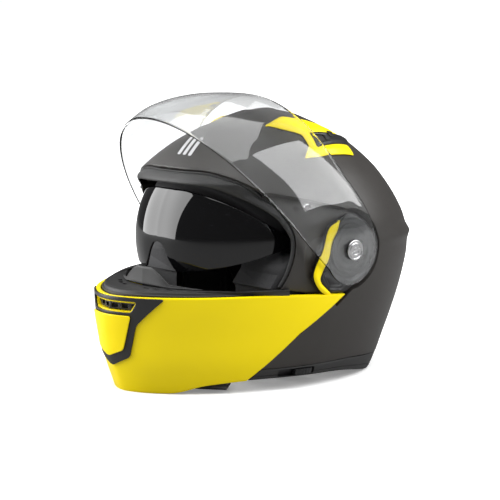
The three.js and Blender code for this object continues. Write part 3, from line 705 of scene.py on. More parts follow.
def temple_floor(point):
    """Floor of the temple recess: the form drawn in, and flat where the chin bar's arm turns."""
    out = draw_in(np.array(point, float), TEMPLE_DEPTH)
    reach = math.hypot(point[1] - PIVOT[0], point[2] - PIVOT[1])
    limit = TEMPLE_HALF_WIDTH + max(0, reach - TEMPLE_FLAT_RADIUS) * 1.5
    out[0] = math.copysign(min(abs(out[0]), limit), out[0])
    return out



def pivot_arc(radius, angles):
    """Side view points round the pivot."""
    return [[PIVOT[0] + radius * math.cos(a), PIVOT[1] + radius * math.sin(a)] for a in angles]


disc_arc = pivot_arc(TEMPLE_DISC_RADIUS, np.radians(range(95, -88, -5)))
temple_line = np.array([[-75, 190], [-68, 190], *curve_points([[-60, 190], [-20, 182], [21.6, 171.4]], 2),
                        *disc_arc, [23, 88], [10, 78], [-75, 78]])
temple_left = dome_flat(on_side(temple_line))
shell = cut_sheet("outer_shell_skin", [(shell_outline, shell_corners)], 3.0)
region_group(shell, "temple_left", temple_left)
region_group(shell, "temple_right", temple_left * mirror)
lay(shell, dome_place)
for name in ("temple_left", "temple_right"):
    push_region(shell, name, temple_floor)
face_outward(shell, MIDDLE)
wall(shell, 3.6, edge=0.8)
finish_piece(shell, shell_black, "shell_black", "helmet", "outer_shell")

# ---------------------------------------------------------------- Chin bar
# The yellow chin bar is a second moulding with the same outer form as the shell. It is cut
# through in front for the intake slots, and carries its own foam. It lifts on the two pivots.
signal_yellow = make_material("signal_yellow", (0.97, 0.76, 0.0), 0.33, Coat_Weight=0.12,
                              Coat_Roughness=0.12, Specular_IOR_Level=0.22)
add_grain(signal_yellow, 1500, 0.00001, tint=0.035, rough=0.03)
WRAP = 120.0


def wrap_flat(points):
    """Flat map of the helmet's sides: turn times a radius, and level."""
    points = np.asarray(points, float)
    return np.stack([np.arctan2(points[:, 0], form_centre(points[:, 2]) - points[:, 1]) * WRAP,
                     points[:, 2]], -1)


def wrap_place(u, v):
    return around(u / WRAP, v)


def on_front(points):
    """Front view points (x, z) carried onto the front of the helmet."""
    points = np.asarray(points, float)
    return np.column_stack([points[:, 0], front_y(points[:, 0], points[:, 1]), points[:, 1]])


CHIN_TOP = 93.6
chin_low = on_side(curve_points([[-153.9, 0], [-140, 0.4], [-128, 1.2], [-110, 7.8], [-92, 10.6],
                                 [-74, 12]], 0.6))
chin_low[0, 0] = 0
chin_rear = on_side(curve_points([[-74, 12], [-29, 55.5]], 1.5))
chin_tip = on_side(curve_points([[-29, 55.5], [19.5, 89.5]], 1.5))
chin_upper = on_side(curve_points([[19.5, 89.5], [-20, 92], [-60, CHIN_TOP], [-120, CHIN_TOP],
                                   [-169.9, CHIN_TOP]], 0.6))
chin_upper[-1, 0] = 0
left_runs = [wrap_flat(run) for run in (chin_low, chin_rear, chin_tip, chin_upper)]
right_runs = [run[::-1] * mirror for run in left_runs[::-1]]
chin_outline, chin_corners = outline_of(*left_runs, *right_runs)
chin_corners = [chin_corners[1], chin_corners[3], chin_corners[5], chin_corners[7]]
INTAKE = [[-26, 80], [26, 80], [31, 88], [-31, 88]]


def corner_outline(points, step=1.5):
    """A closed outline with straight sides and a corner at every point."""
    points = np.asarray(points, float)
    return outline_of(*[curve_points([points[i], points[(i + 1) % len(points)]],
                                     step) for i in range(len(points))])


def rounded_outline(points, radius, step=1.0):
    """A closed outline with straight sides whose corners are rounded."""
    points = np.asarray(points, float)
    out = []
    for i, corner in enumerate(points):
        before = points[i - 1] - corner
        after = points[(i + 1) % len(points)] - corner
        cut = min(radius, np.linalg.norm(before) * 0.45, np.linalg.norm(after) * 0.45)
        start = corner + before / np.linalg.norm(before) * cut
        end = corner + after / np.linalg.norm(after) * cut
        for t in np.linspace(0, 1, 6):
            out.append(start * (1 - t) ** 2 + corner * 2 * t * (1 - t) + end * t * t)
        following = points[(i + 1) % len(points)]
        run = np.linalg.norm(following - end)
        if run > step * 2:
            for t in np.arange(step, run - radius, step * 2):
                out.append(end + (following - end) * t / run)
    return np.array(out), []


intake, intake_corners = corner_outline(INTAKE)
chin = cut_sheet("chin_bar_skin", [(chin_outline, chin_corners),
                                   (wrap_flat(on_front(intake)), intake_corners)], 2.6)
lay(chin, wrap_place)
face_outward(chin, MIDDLE)
wall(chin, 4.2, edge=0.7)
finish_piece(chin, signal_yellow, "signal_yellow", "chin_bar", "chin_bar_shell")

# ---------------------------------------------------------------- Front vent
# A black surround shaped like a shield is clipped onto the chin bar, with a grille behind its two
# slots, and a yellow plate slides up over them.
trim_black = make_material("trim_black", (0.013, 0.013, 0.014), 0.38)
add_grain(trim_black, 1800, 0.00003, tint=0.1, rough=0.05)
VENT_EDGE = [[-55, 93.2], [-30.5, 67], [-21.5, 36], [0, 26], [21.5, 36], [30.5, 67], [55, 93.2]]
SLOTS = [[-33, 89.5], [-27, 79], [27, 79], [33, 89.5]]


def lay_front(piece):
    lay(piece, lambda u, v: np.stack([u, front_y(u, v), v], -1))
    face_outward(piece, MIDDLE)


vent = cut_sheet("chin_vent_frame", [rounded_outline(VENT_EDGE, 3.5), rounded_outline(SLOTS, 3)], 1.3)
lay_front(vent)
sink(vent, -2.2)
wall(vent, 1.9, edge=0.9, segments=3)
finish_piece(vent, trim_black, "trim_black", "chin_bar", "chin_vent_surround")

PLATE_EDGE = [[-27.5, 76.5], [-17, 43], [0, 36], [17, 43], [27.5, 76.5]]
plate = cut_sheet("chin_vent_slider", [rounded_outline(PLATE_EDGE, 3)], 1.2)
lay_front(plate)
sink(plate, -4.3)
wall(plate, 1.4, edge=0.6, segments=3)
finish_piece(plate, signal_yellow, "signal_yellow", "chin_vent_plate", "chin_vent_plate")

# ---------------------------------------------------------------- Clear visor
# The visor is one sheet of clear polycarbonate, bent both ways, with a lip along its lower edge.
# It turns on the same pivots as the chin bar, and is drawn closed and then swung up.
VISOR_SWING = math.radians(-51)
VISOR_CENTRE = 22
VISOR_REAR = 150
visor_levels = [84, 95, 115, 135, 160, 185, 203, 214]
visor_front = curve_through(visor_levels, [189, 188, 185, 177, 162, 142, 125, 112])
visor_side = curve_through(visor_levels, [127, 127.5, 128.6, 129, 127.5, 119, 107, 98])


def visor_around(turn, z):
    c = np.cos(turn)
    s = np.sin(turn)
    reach = np.where(c > 0, visor_front(z), VISOR_REAR)
    q = ((c / reach) ** 2 + (s / visor_side(z)) ** 2) ** -0.5
    return np.stack([q * s, VISOR_CENTRE - q * c, z], -1)


def swing_up(points):
    """Turns drawn points about the pivots from the closed visor to the raised one."""
    y = points[:, 1] - PIVOT[0]
    z = points[:, 2] - PIVOT[1]
    c = math.cos(VISOR_SWING)
    s = math.sin(VISOR_SWING)
    return np.stack([points[:, 0], PIVOT[0] + c * y - s * z, PIVOT[1] + s * y + c * z], -1)


def visor_flat(points):
    """Side view points (y, z) of the closed visor in its flat map."""
    points = np.asarray(points, float)
    forward = VISOR_CENTRE - points[:, 0]
    reach = np.where(forward > 0, visor_front(points[:, 1]), VISOR_REAR)
    wide = visor_side(points[:, 1]) * np.sqrt(np.clip(1 - (forward / reach) ** 2, 0, 1))
    return np.stack([np.arctan2(wide, forward) * WRAP, points[:, 1]], -1)


VISOR_DISC_RADIUS = 34
HUB_HOLE_RADIUS = 6.2
visor_disc = pivot_arc(VISOR_DISC_RADIUS, np.radians(range(262, 425, 4)))
visor_low = curve_points([[-165.9, 95], [-120, 95], [-60, 95], [-8, 95.4]], 0.6)
visor_step = curve_points([[-8, 95.4], visor_disc[0]], 2)
visor_rise = curve_points([visor_disc[-1], [24, 168], [3.5, 172.3], [-29, 176], [-61, 186.4], [-85, 197],
                           [-97, 201.4], [-103, 202.4]], 0.4)
left_runs = [visor_flat(visor_low), visor_flat(visor_step), visor_flat(np.array(visor_disc)),
             visor_flat(visor_rise)]
left_runs[0][0, 0] = 0
left_runs[-1][-1, 0] = 0
right_runs = [run[::-1] * mirror for run in left_runs[::-1]]
visor_outline, visor_corners = outline_of(*left_runs, *right_runs)
hub_hole = visor_flat(pivot_arc(HUB_HOLE_RADIUS, np.linspace(0, math.tau, 32, endpoint=False)))
visor = cut_sheet("clear_visor_sheet", [(visor_outline, []), (hub_hole, []), (hub_hole * mirror, [])], 2.4)
lay(visor, lambda u, v: swing_up(visor_around(u / WRAP, v)))
face_outward(visor, (0, 0, 0.15))
wall(visor, 2.1, edge=0.5)
clear_sheet = make_material("clear_polycarbonate", (0.79, 0.80, 0.805), 0.015, IOR=1.45,
                            Transmission_Weight=1.0)
finish_piece(visor, clear_sheet, "clear_polycarbonate", "clear_visor", "clear_visor")

# ---------------------------------------------------------------- Sun visor
# A smoked inner visor, a barrel-shaped sheet that turns about two side pins and drops from a
# pocket between shell and foam. It has a notch for the nose.
SUN_AXIS = (-15.0, 138.0)
SUN_RADIUS = 97.0
lens_line = curve_points([[0, 97], [25, 95.5], [45, 88.5], [62, 76.5], [76, 60], [86, 41], [92, 22],
                          [94, 11]], 1)
lens_run = np.concatenate([[0], np.cumsum(np.linalg.norm(np.diff(lens_line, axis=0), axis=1))])


def sun_place(u, v):
    """Flat map of the sun visor: run along its curve to the side, and angle times its radius."""
    x = np.interp(np.abs(u), lens_run, lens_line[:, 0])
    r = np.interp(np.abs(u), lens_run, lens_line[:, 1])
    angle = v / SUN_RADIUS
    return np.stack([np.sign(u) * x, SUN_AXIS[0] - r * np.cos(angle), SUN_AXIS[1] + r * np.sin(angle)], -1)


SUN_LOW = math.radians(-16) * SUN_RADIUS
SUN_HIGH = math.radians(32) * SUN_RADIUS
sun_end = lens_run[-1]
nose_notch = curve_points([[24, SUN_LOW], [17.5, SUN_LOW + 9], [11, SUN_LOW + 20.5], [6, SUN_LOW + 26.5],
                           [0, SUN_LOW + 28]], 1)
left_runs = [nose_notch[::-1], curve_points([[24, SUN_LOW], [sun_end, SUN_LOW]], 2),
             curve_points([[sun_end, SUN_LOW], [sun_end, SUN_HIGH]], 2),
             curve_points([[sun_end, SUN_HIGH], [0, SUN_HIGH]], 2)]
right_runs = [run[::-1] * mirror for run in left_runs[::-1]]
sun_outline, sun_corners = outline_of(*left_runs, *right_runs)
sun = cut_sheet("sun_visor_lens", [(sun_outline, [sun_corners[k] for k in (1, 2, 3, 5, 6, 7)])], 1.7)
lay(sun, sun_place)
face_outward(sun, (0, (SUN_AXIS[0] + SHIFT) * MM, SUN_AXIS[1] * MM))
wall(sun, 2.2, edge=0.6)
smoked = make_material("smoked_polycarbonate", (0.003, 0.003, 0.0035), 0.03, IOR=1.5)
finish_piece(sun, smoked, "smoked_polycarbonate", "sun_visor", "sun_visor")

# ---------------------------------------------------------------- Rubber seal round the eye opening
# A moulded rubber gasket is pressed onto the edge of the shell. It has a groove along the shell and
# a soft rounded lip that the closed visor bears on, and it steps down into the temple recess.
rubber_black = make_material("rubber_black", (0.022, 0.022, 0.022), 0.55)
add_grain(rubber_black, 1400, 0.00004, tint=0.12, rough=0.06)


def resample(points, count):
    """The same line with evenly spaced points."""
    run = np.concatenate([[0], np.cumsum(np.linalg.norm(np.diff(points, axis=0), axis=1))])
    at = np.linspace(0, run[-1], count)
    return np.column_stack([np.interp(at, run, points[:, k]) for k in range(points.shape[1])])


def swept(name, along, rounds, place, capped=True):
    """A closed section carried along a path: a grid whose long edges meet, with its ends filled."""
    bpy.ops.object.select_all(action="DESELECT")
    bpy.ops.mesh.primitive_grid_add(x_subdivisions=along, y_subdivisions=rounds, size=1)
    piece = bpy.context.object
    piece.name = name
    mesh = piece.data
    at = coordinates(mesh)
    drawn = place(at[:, 0] + 0.5, at[:, 1] + 0.5)
    drawn[:, 1] += SHIFT
    mesh.vertices.foreach_set("co", (drawn * MM).ravel())
    bpy.ops.object.mode_set(mode="EDIT")
    bpy.ops.mesh.select_all(action="SELECT")
    bpy.ops.mesh.remove_doubles(threshold=1e-5)
    if capped:
        bpy.ops.mesh.fill_holes(sides=0)
    bpy.ops.mesh.normals_make_consistent(inside=False)
    bpy.ops.object.mode_set(mode="OBJECT")
    smooth(piece, 50)
    return piece


def round_section(points, w):
    """Where a share of the way round a closed section lies, with the corners as given."""
    points = np.asarray(points + points[:1], float)
    share = np.linspace(0, 1, len(points))
    return np.interp(w, share, points[:, 0]), np.interp(w, share, points[:, 1])


def towards_middle(points, depth):
    """Points moved in towards the middle of the helmet by a depth each."""
    ray = points - NEST
    return points - ray / np.linalg.norm(ray, axis=1)[:, None] * depth[:, None]


def full_path(left):
    """A path from the left end over the middle plane to the right end."""
    return np.vstack([left[::-1], left[1:] * np.array([-1, 1, 1])])


seal_outer_line = resample(on_side(curve_points([[-96, 207.9], [-90, 207.9], [-80, 203.4], [-66.4, 194],
                                                 [-54, 182.6],
                                                 [-45.5, 168.8], [-38.6, 150], [-39.6, 130], [-44.6, 112],
                                                 [-50.6, 99.4]], 0.7)), 90)
seal_inner_line = resample(on_side(curve_points([[-107.6, 197.5], [-99, 196.8], [-84, 191], [-66, 179],
                                                 [-54, 168],
                                                 [-48, 158], [-43.5, 148], [-44.5, 130], [-49.5, 112],
                                                 [-55, 99.4]], 0.7)), 90)
seal_outer_line[0, 0] = 0
seal_inner_line[0, 0] = 0
seal_outer = full_path(seal_outer_line)
seal_inner = full_path(seal_inner_line)
# Share from the shell to the eye opening, and depth under the form
SEAL_SECTION = [(0.0, 2.1), (0.05, 1.9), (0.11, 2.0), (0.14, 2.9), (0.2, 3.0), (0.24, 1.9), (0.3, 1.5),
                (0.45, 1.4),
                (0.65, 1.5), (0.82, 1.9), (0.94, 2.8), (1.0, 4.1), (0.97, 4.6), (0.8, 4.1), (0.4,
                                                                                             3.8), (0.0, 3.7)]


# Where the seal steps down into the temple recess, over what height, and how deep
SEAL_STEP_LEVEL = 198
SEAL_STEP_RUN = 9
SEAL_STEP_DEPTH = 7.4


def seal_place(s, w):
    at = s * (len(seal_outer) - 1)
    k = np.arange(len(seal_outer))
    a = np.column_stack([np.interp(at, k, seal_outer[:, j]) for j in range(3)])
    b = np.column_stack([np.interp(at, k, seal_inner[:, j]) for j in range(3)])
    share, depth = round_section(SEAL_SECTION, w)
    line = a + (b - a) * share[:, None]
    step = np.clip((SEAL_STEP_LEVEL - line[:, 2]) / SEAL_STEP_RUN, 0, 1)
    step = step * step * (3 - 2 * step) * SEAL_STEP_DEPTH
    return towards_middle(line, depth + step)


seal = swept("eyeport_gasket", 178, 64, seal_place)
finish_piece(seal, rubber_black, "rubber_black", "helmet", "eyeport_seal")

# ---------------------------------------------------------------- Rim trim and sun visor slider
# A black rubber edging closes the lower edge of shell and foam. On the left it has a slot for the
# knob that moves the sun visor.
RIM_SECTION = [(0.08, 0.5), (0.16, 0.3), (0.3, 0.3), (0.32, 0.9), (0.36, 0.9), (0.38, 0.3), (0.9, 0.3),
               (0.97, 0.7),
               (1.0, 1.6), (1.0, 4.6), (0.95, 5.4), (0.2, 5.6), (0.05, 6.2), (0.0, 5.2), (0.0, 1.8), (0.02,
                                                                                                      1.0)]
rim_line = curve_points([[-90, 12], [-21, 12.2], [39, 9.6], [70, 4.5], [92, 0.6], [110, 0], [140, 0]], 1)
rim_top_line = np.array([[-90, 22.6], [40, 22.6], [88, 18.5], [140, 14], [160, 14]])


def rim_place(s, w):
    share, depth = round_section(RIM_SECTION, w)
    level = 18 * np.ones_like(s)
    for _ in range(12):
        start = np.arctan2(side_x(-72.5 + (level - 12) * 0.98, level),
                           form_centre(level) + 72.5 - (level - 12) * 0.98)
        turn = start + (math.tau - 2 * start) * s
        y = around(turn, level)[:, 1]
        low = np.interp(y, rim_line[:, 0], rim_line[:, 1])
        high = np.interp(y, rim_top_line[:, 0], rim_top_line[:, 1])
        level = low + (high - low) * share
    return around(turn, level, depth)


def box_cut(piece, location, scale, rotation=(0, 0, 0), bevel=0):
    """Cuts a box out of a piece, its edges rounded by a bevel. Sizes in metres."""
    bpy.ops.object.select_all(action="DESELECT")
    bpy.ops.mesh.primitive_cube_add(size=1, location=location, scale=scale, rotation=rotation)
    bpy.ops.object.transform_apply(location=True, rotation=True, scale=True)
    cutter = bpy.context.object
    if bevel:
        apply_modifier(cutter, "BEVEL", width=bevel, segments=3)
    apply_modifier(piece, "BOOLEAN", operation="DIFFERENCE", object=cutter, solver="EXACT")
    bpy.data.objects.remove(cutter)


rim = swept("rim_rubber", 200, 48, rim_place)
box_cut(rim, (0.105, (-25.5 + SHIFT) * MM, 0.017), (0.04, 0.039, 0.0072), bevel=0.002)
smooth(rim, 35)
finish_piece(rim, rubber_black, "rubber_black", "helmet", "rim_trim")

knob_low, knob_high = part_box("sun_visor_slider")
bpy.ops.object.select_all(action="DESELECT")
bpy.ops.mesh.primitive_cube_add(size=1)
knob = bpy.context.object
knob.name = "sun_visor_knob"
bpy.ops.object.mode_set(mode="EDIT")
bpy.ops.mesh.subdivide(number_cuts=11)
bpy.ops.object.mode_set(mode="OBJECT")
knob_at = np.array([v.co for v in knob.data.vertices])
knob_y = knob_low.y + (knob_at[:, 1] + 0.5) * (knob_high.y - knob_low.y)
knob_z = knob_low.z + (knob_at[:, 2] + 0.5) * (knob_high.z - knob_low.z)
knob_face = side_x(knob_y / MM - SHIFT, knob_z / MM)
ribs = 0.45 * np.cos((knob_at[:, 1] + 0.5) * math.tau * 5)
outward = knob_at[:, 0] + 0.5
knob_x = knob_face - 4.4 + outward * 6.9 + outward * ribs - outward * 2.2 * (2 * np.abs(knob_at[:, 1])) ** 3
for vertex, x, y, z in zip(knob.data.vertices, knob_x, knob_y, knob_z):
    vertex.co = (x * MM, y, z)
apply_modifier(knob, "BEVEL", width=0.0005, segments=2, limit_method="ANGLE", angle_limit=math.radians(50))
smooth(knob, 40)
finish_piece(knob, trim_black, "trim_black", "sun_visor_slider", "sun_visor_slider")

# ---------------------------------------------------------------- Chin bar ledge and breath guard
# The closed visor seals on a black ledge along the top of the chin bar. It has a rolled front edge
# and demist slots, and a soft breath guard stands up from its inner edge.
INNER_EDGE = [[0, -127], [30, -122.5], [60, -105.5], [80, -89], [95, -75], [108, -57], [113.6, -43]]
inner_line = resample(curve_points(INNER_EDGE, 0.5), 60)
inner_turn = np.arctan2(inner_line[:, 0], 10 - inner_line[:, 1])
# Level, and share from the outer form to the inner edge; the first depths are under the outer form
LEDGE_SECTION = [(91.5, 6.4, 0), (94.0, 6.2, 0), (95.2, 6.2, 0), (95.8, 6.9, 0), (95.4, 7.6, 0),
                 (96.4, 8.1, 0),
                 (97.8, 8.7, 0), (98.5, 10.2, 0), (98.5, 11.8, 0), (98.5, 0, 0.45), (98.4, 0, 0.8), (98.2,
                                                                                                     0, 0.95),
                 (97.4, 0, 1.0), (92.2, 0, 1.0), (91.4, 0, 0.97), (91.2, 0, 0.6)]


def ledge_place(s, w):
    last = inner_turn[-1]
    turn = last - 2 * last * s
    table = np.array(LEDGE_SECTION + LEDGE_SECTION[:1])
    share = np.linspace(0, 1, len(table))
    level = np.interp(w, share, table[:, 0])
    depth = np.interp(w, share, table[:, 1])
    inward = np.interp(w, share, table[:, 2])
    outer = around(turn, level, depth)
    a = np.abs(turn)
    inner = np.column_stack([np.interp(a, inner_turn, inner_line[:, 0]) * np.sign(turn),
                             np.interp(a, inner_turn, inner_line[:, 1]), level])
    return outer + (inner - outer) * inward[:, None]


ledge = swept("chin_bar_ledge", 180, 64, ledge_place)
for side in (-1, 1):
    for k in range(3):
        x = side * (17 + 11 * k) * MM
        y = (-137.5 + 2.4 * k + 1.4 * k * k + SHIFT) * MM
        box_cut(ledge, (x, y, 0.0988), (0.0075, 0.0042, 0.0046), (0, 0, side * (0.12 + 0.12 * k)))
smooth(ledge, 40)
finish_piece(ledge, rubber_black, "trim_black", "chin_bar", "chin_bar_upper_trim")


def guard_place(s, w):
    """The guard's sheet: along its foot and up, round its top edge, and down its back."""
    run = (1 - 2 * s) * 62
    a = np.abs(run)
    foot_y = np.interp(a, inner_line[:, 0], inner_line[:, 1])
    rise = 17.2 * np.clip(1 - (np.maximum(a - 11, 0) / 25) ** 1.25, 0, 1) ** 0.9 + 0.25
    rise = np.where(a > 30, np.maximum(rise, 3.4 * np.clip(1 - (a - 30) / 30, 0, 1) + 0.25), rise)
    front = w < 0.5
    height = np.where(front, w * 2, (1 - w) * 2)
    lean = 2.6 * (1 - height) ** 2
    fullness = np.clip(np.sqrt(np.clip(1 - (2 * height - 1) ** 8, 0, 1)) + 0.05, 0, 1)
    thick = np.where(front, 1.15, -1.0) * fullness
    return np.column_stack([run, foot_y - 1.3 - lean * 0.4 - thick, 98.95 + rise * height])


guard = swept("breath_guard_rubber", 120, 40, guard_place)
finish_piece(guard, rubber_black, "rubber_black", "chin_bar", "breath_guard")

# ---------------------------------------------------------------- Pivot covers
# On each side a black cover with a stepped hexagonal well hides the pivot, with a yellow blade
# along its front edge. Under the visor's disc lie the ratchet plate and its screw.
POD_FACE = 122.3
HUB_RADIUS = 12
WELL_START = 26
pod_rear = curve_points([[14, 159.5], [25, 166], [43, 160], [56, 146], [60, 128], [50, 107], [22, 91]], 1)
pod_front = curve_points([[3.6, 92.2], [-10.4, 108], [-8.4, 112], [-0.4, 126], [3.6, 140], [10.6, 152],
                          [14, 159.5]], 1)
pod_foot = curve_points([[22, 91], [3.6, 92.2]], 1)
pod_outline, pod_corners = outline_of(pod_rear, pod_foot, pod_front)
WELL = np.array([[-6, 113], [-8.5, 108], [-1, 96], [15, 94], [36, 106], [45, 118], [20, 116]])


def edge_distance(outline, points):
    return np.linalg.norm(nearest_on(outline, points) - points, axis=1)


def pod_relief(u, v):
    points = np.column_stack([u, v])
    reach = np.hypot(u - PIVOT[0], v - PIVOT[1])
    inside = is_inside(WELL, u, v) & (reach > WELL_START)
    deep = np.where(inside, np.minimum(edge_distance(WELL, points), reach - WELL_START), 0)
    well = -0.9 * np.clip(deep / 0.9, 0, 1) - 0.8 * np.clip((deep - 3.2) / 0.8, 0, 1)
    ring = 0.9 * np.exp(-((reach - 30.5) / 1.1) ** 2)
    edge = edge_distance(pod_outline, points)
    roll = -1.3 * np.clip(1 - edge / 3, 0, 1) ** 2
    return POD_FACE - 0.6 + well + ring + roll


def both_sides(piece, name, material, slot, body, node):
    right = mirror_copy(piece, f"{name}_right")
    piece.name = f"{name}_left"
    finish_piece(piece, material, slot, body, f"{node}_left")
    finish_piece(right, material, slot, body, f"{node}_right")
    return piece, right


hub_edge = pivot_arc(HUB_RADIUS, np.linspace(0, math.tau, 48, endpoint=False))
pod = cut_sheet("pivot_cover", [(pod_outline, pod_corners), (np.array(hub_edge), [])], 0.9)
lay(pod, lambda u, v: np.stack([pod_relief(u, v), u, v], -1))
face_outward(pod, (0, 0.02, 0.13))
wall(pod, 2.2, edge=0.3)
both_sides(pod, "pivot_cover_moulding", trim_black, "trim_black", "chin_bar", "pivot_cover")

blade_front = curve_points([[2.6, 91], [-3, 91], [-19.5, 108], [-8, 135], [0.2, 155], [12.6, 160.5]], 1)
blade_rear = curve_points([[12.6, 160.5], [10, 152], [3, 140], [-1, 126], [-9, 112], [-11, 108],
                           [2.6, 91]], 1)
blade_outline, blade_corners = outline_of(blade_front, blade_rear)
blade = cut_sheet("pivot_cover_blade", [(blade_outline, blade_corners)], 0.9)


def blade_relief(u, v):
    edge = edge_distance(blade_outline, np.column_stack([u, v]))
    return POD_FACE - 0.9 + 1.6 * (1 - np.clip(1 - edge / 3.2, 0, 1) ** 2)


lay(blade, lambda u, v: np.stack([blade_relief(u, v), u, v], -1))
face_outward(blade, (0, 0.02, 0.13))
wall(blade, 2.4, edge=0.3)
both_sides(blade, "pivot_cover_yellow_blade", signal_yellow, "signal_yellow", "chin_bar", "pivot_cover_edge")


def turned_disc(name, rings, sides=64):
    """A disc on the pivot axis, inset and extruded ring by ring: each ring is a radius and a face X."""
    bpy.ops.object.select_all(action="DESELECT")
    radius, face = rings[0]
    bpy.ops.mesh.primitive_circle_add(vertices=sides, radius=radius * MM, fill_type="NGON")
    piece = bpy.context.object
    piece.name = name
    bpy.ops.object.mode_set(mode="EDIT")
    last_radius, last_face = radius, face
    for radius, x in rings[1:]:
        bpy.ops.mesh.extrude_region_move(TRANSFORM_OT_translate={"value": (0, 0, (x - last_face) * MM)})
        share = radius / last_radius
        bpy.ops.transform.resize(value=(share, share, 1), center_override=(0, 0, 0))
        last_radius, last_face = radius, x
    bpy.ops.object.mode_set(mode="OBJECT")
    turn = Matrix.Rotation(math.radians(90), 4, "Y")
    place = Matrix.Translation((face * MM, pivot_y * MM, pivot_z * MM))
    piece.data.transform(place @ turn)
    apply_modifier(piece, "BEVEL", width=0.00025, segments=2, limit_method="ANGLE",
                   angle_limit=math.radians(35))
    smooth(piece, 30)
    return piece


plate_disc = turned_disc("ratchet_plate", [(24.6, 122.6), (24.8, 123.5), (24.2, 123.8), (21.5, 123.8),
                                           (21.2, 123.3),
                                           (18, 123.3), (17.7, 123.8), (13.5, 123.8), (13.2, 123.4), (6.2,
                                                                                                      123.4),
                                           (6.0, 122.7)])
both_sides(plate_disc, "ratchet_disc", trim_black, "trim_black", "chin_bar", "ratchet_plate")

steel = make_material("steel", (0.62, 0.62, 0.63), 0.27, Metallic=1.0)
add_grain(steel, 900, 0.000012, tint=0.08, rough=0.07)
screw = turned_disc("pivot_screw", [(5, 125.2), (5, 129.8), (9.6, 129.9), (9.8, 130.3), (9.7, 131.0),
                                    (9.2, 131.35),
                                    (8.3, 131.35), (8.0, 130.8), (6.9, 130.8), (6.6, 131.2), (4.4, 131.3),
                                    (3.9, 130.9), (2.3, 130.9), (2.0, 131.1), (0.8, 131.1)])
for angle in (0.4, 0.4 + math.pi / 2):
    box_cut(screw, (0.1314, pivot_y * MM, pivot_z * MM), (0.0012, 0.0105, 0.0011), (angle, 0, 0))
smooth(screw, 30)
both_sides(screw, "pivot_screw_head", steel, "steel", "chin_bar", "pivot_screw")

# ---------------------------------------------------------------- Crown vents
# Each crown vent is a yellow forked frame and a black scoop between its arms, both moulded with
# chamfered edges and clipped to the shell. A shutter slides under the scoop.
FRAME_PLAN = [[41.6, -13], [57, 7], [63.7, 15], [78, 11.5], [88.3, -3.5], [88.5, 20], [86, 44], [82, 67.6],
              [70, 67.6],
              [76, 42], [80, 20], [61, 27], [57, 50], [53, 73], [44, 49], [39.5, 29.7], [35.5, 11.6]]
SCOOP_PLAN = [[61.6, 27.6], [79.4, 20.8], [75.4, 42], [69.2, 68], [60, 81], [53.8, 73], [57.8, 50]]
MOUTH_PLAN = [[62.8, 32.5], [73.5, 28.6], [70.5, 42], [62, 45]]


def raised_panel(name, outlines, cell, low, high, chamfer, thickness):
    """A panel on the crown that rises from low at its edge to high inside, over a chamfer."""
    piece = cut_sheet(name, outlines, cell)
    flat = np.array([v.co[:2] for v in piece.data.vertices])
    edge = np.min([edge_distance(points, flat) for points, corners in outlines], axis=0)
    lay(piece, lambda u, v: np.stack([u, v, top_z(u, v)], -1))
    face_outward(piece, MIDDLE)
    lift = (low + (high - low) * np.clip(edge / chamfer, 0, 1) ** 0.8) * MM
    for vertex, normal, rise in zip(piece.data.vertices, [v.normal.copy() for v in piece.data.vertices],
                                    lift):
        vertex.co += normal * rise
    wall(piece, thickness, edge=0.25)
    return piece


vent_frame = raised_panel("crown_vent_fork", [rounded_outline(FRAME_PLAN, 2.2)], 1.0, 1.2, 4.0, 4.5, 1.1)
both_sides(vent_frame, "crown_vent_fork", signal_yellow, "signal_yellow", "helmet", "crown_vent_frame")
scoop = raised_panel("crown_vent_hood", [rounded_outline(SCOOP_PLAN, 1.5),
                                         rounded_outline(MOUTH_PLAN, 1.2)], 1.0, 0.9,
                     3.2, 3, 0.8)
both_sides(scoop, "crown_vent_hood", trim_black, "trim_black", "helmet", "crown_vent_scoop")

# ---------------------------------------------------------------- Forehead mark
# A small printed mark on the brow: three plain slanted bars in pale grey.
print_grey = make_material("print_grey", (0.55, 0.55, 0.56), 0.4)
add_grain(print_grey, 900, 0.00001, tint=0.05)
for k in range(3):
    start = -6.5 + 8.2 * k
    bar = [[start, -82], [start + 4.6, -82], [start - 2.6, -60], [start - 7.2, -60]]
    stripe = cut_sheet(f"brow_stripe_{k + 1}", [rounded_outline(bar, 1.2)], 1.1)
    lay(stripe, lambda u, v: np.stack([u, v, top_z(u, v)], -1))
    face_outward(stripe, MIDDLE)
    sink(stripe, -0.18)
    wall(stripe, 0.15, edge=0)
    finish_piece(stripe, print_grey, "shell_black", "helmet")

# ---------------------------------------------------------------- Lining
# Removable comfort pads of foam in a black knitted cover: crown pad, two cheek pads, nape pad and
# neck roll. They are held by snaps and tucked edges, and a sewn channel follows their outline.
lining_fabric = make_material("lining_fabric", (0.018, 0.018, 0.02), 0.95, Sheen_Weight=0.25)
add_grain(lining_fabric, 700, 0.00022, detail=1, tint=0.5, rough=0.05)


def merged_copy(name, node):
    """A copy of a CAD node with its loose triangles merged."""
    bpy.ops.object.select_all(action="DESELECT")
    piece = bpy.data.objects.new(name, frame["nodes"][node].data.copy())
    bpy.context.scene.collection.objects.link(piece)
    bpy.context.view_layer.objects.active = piece
    piece.select_set(True)
    piece.data.materials.clear()
    bpy.ops.object.mode_set(mode="EDIT")
    bpy.ops.mesh.select_all(action="SELECT")
    bpy.ops.mesh.remove_doubles(threshold=1e-6)
    bpy.ops.object.mode_set(mode="OBJECT")
    return piece


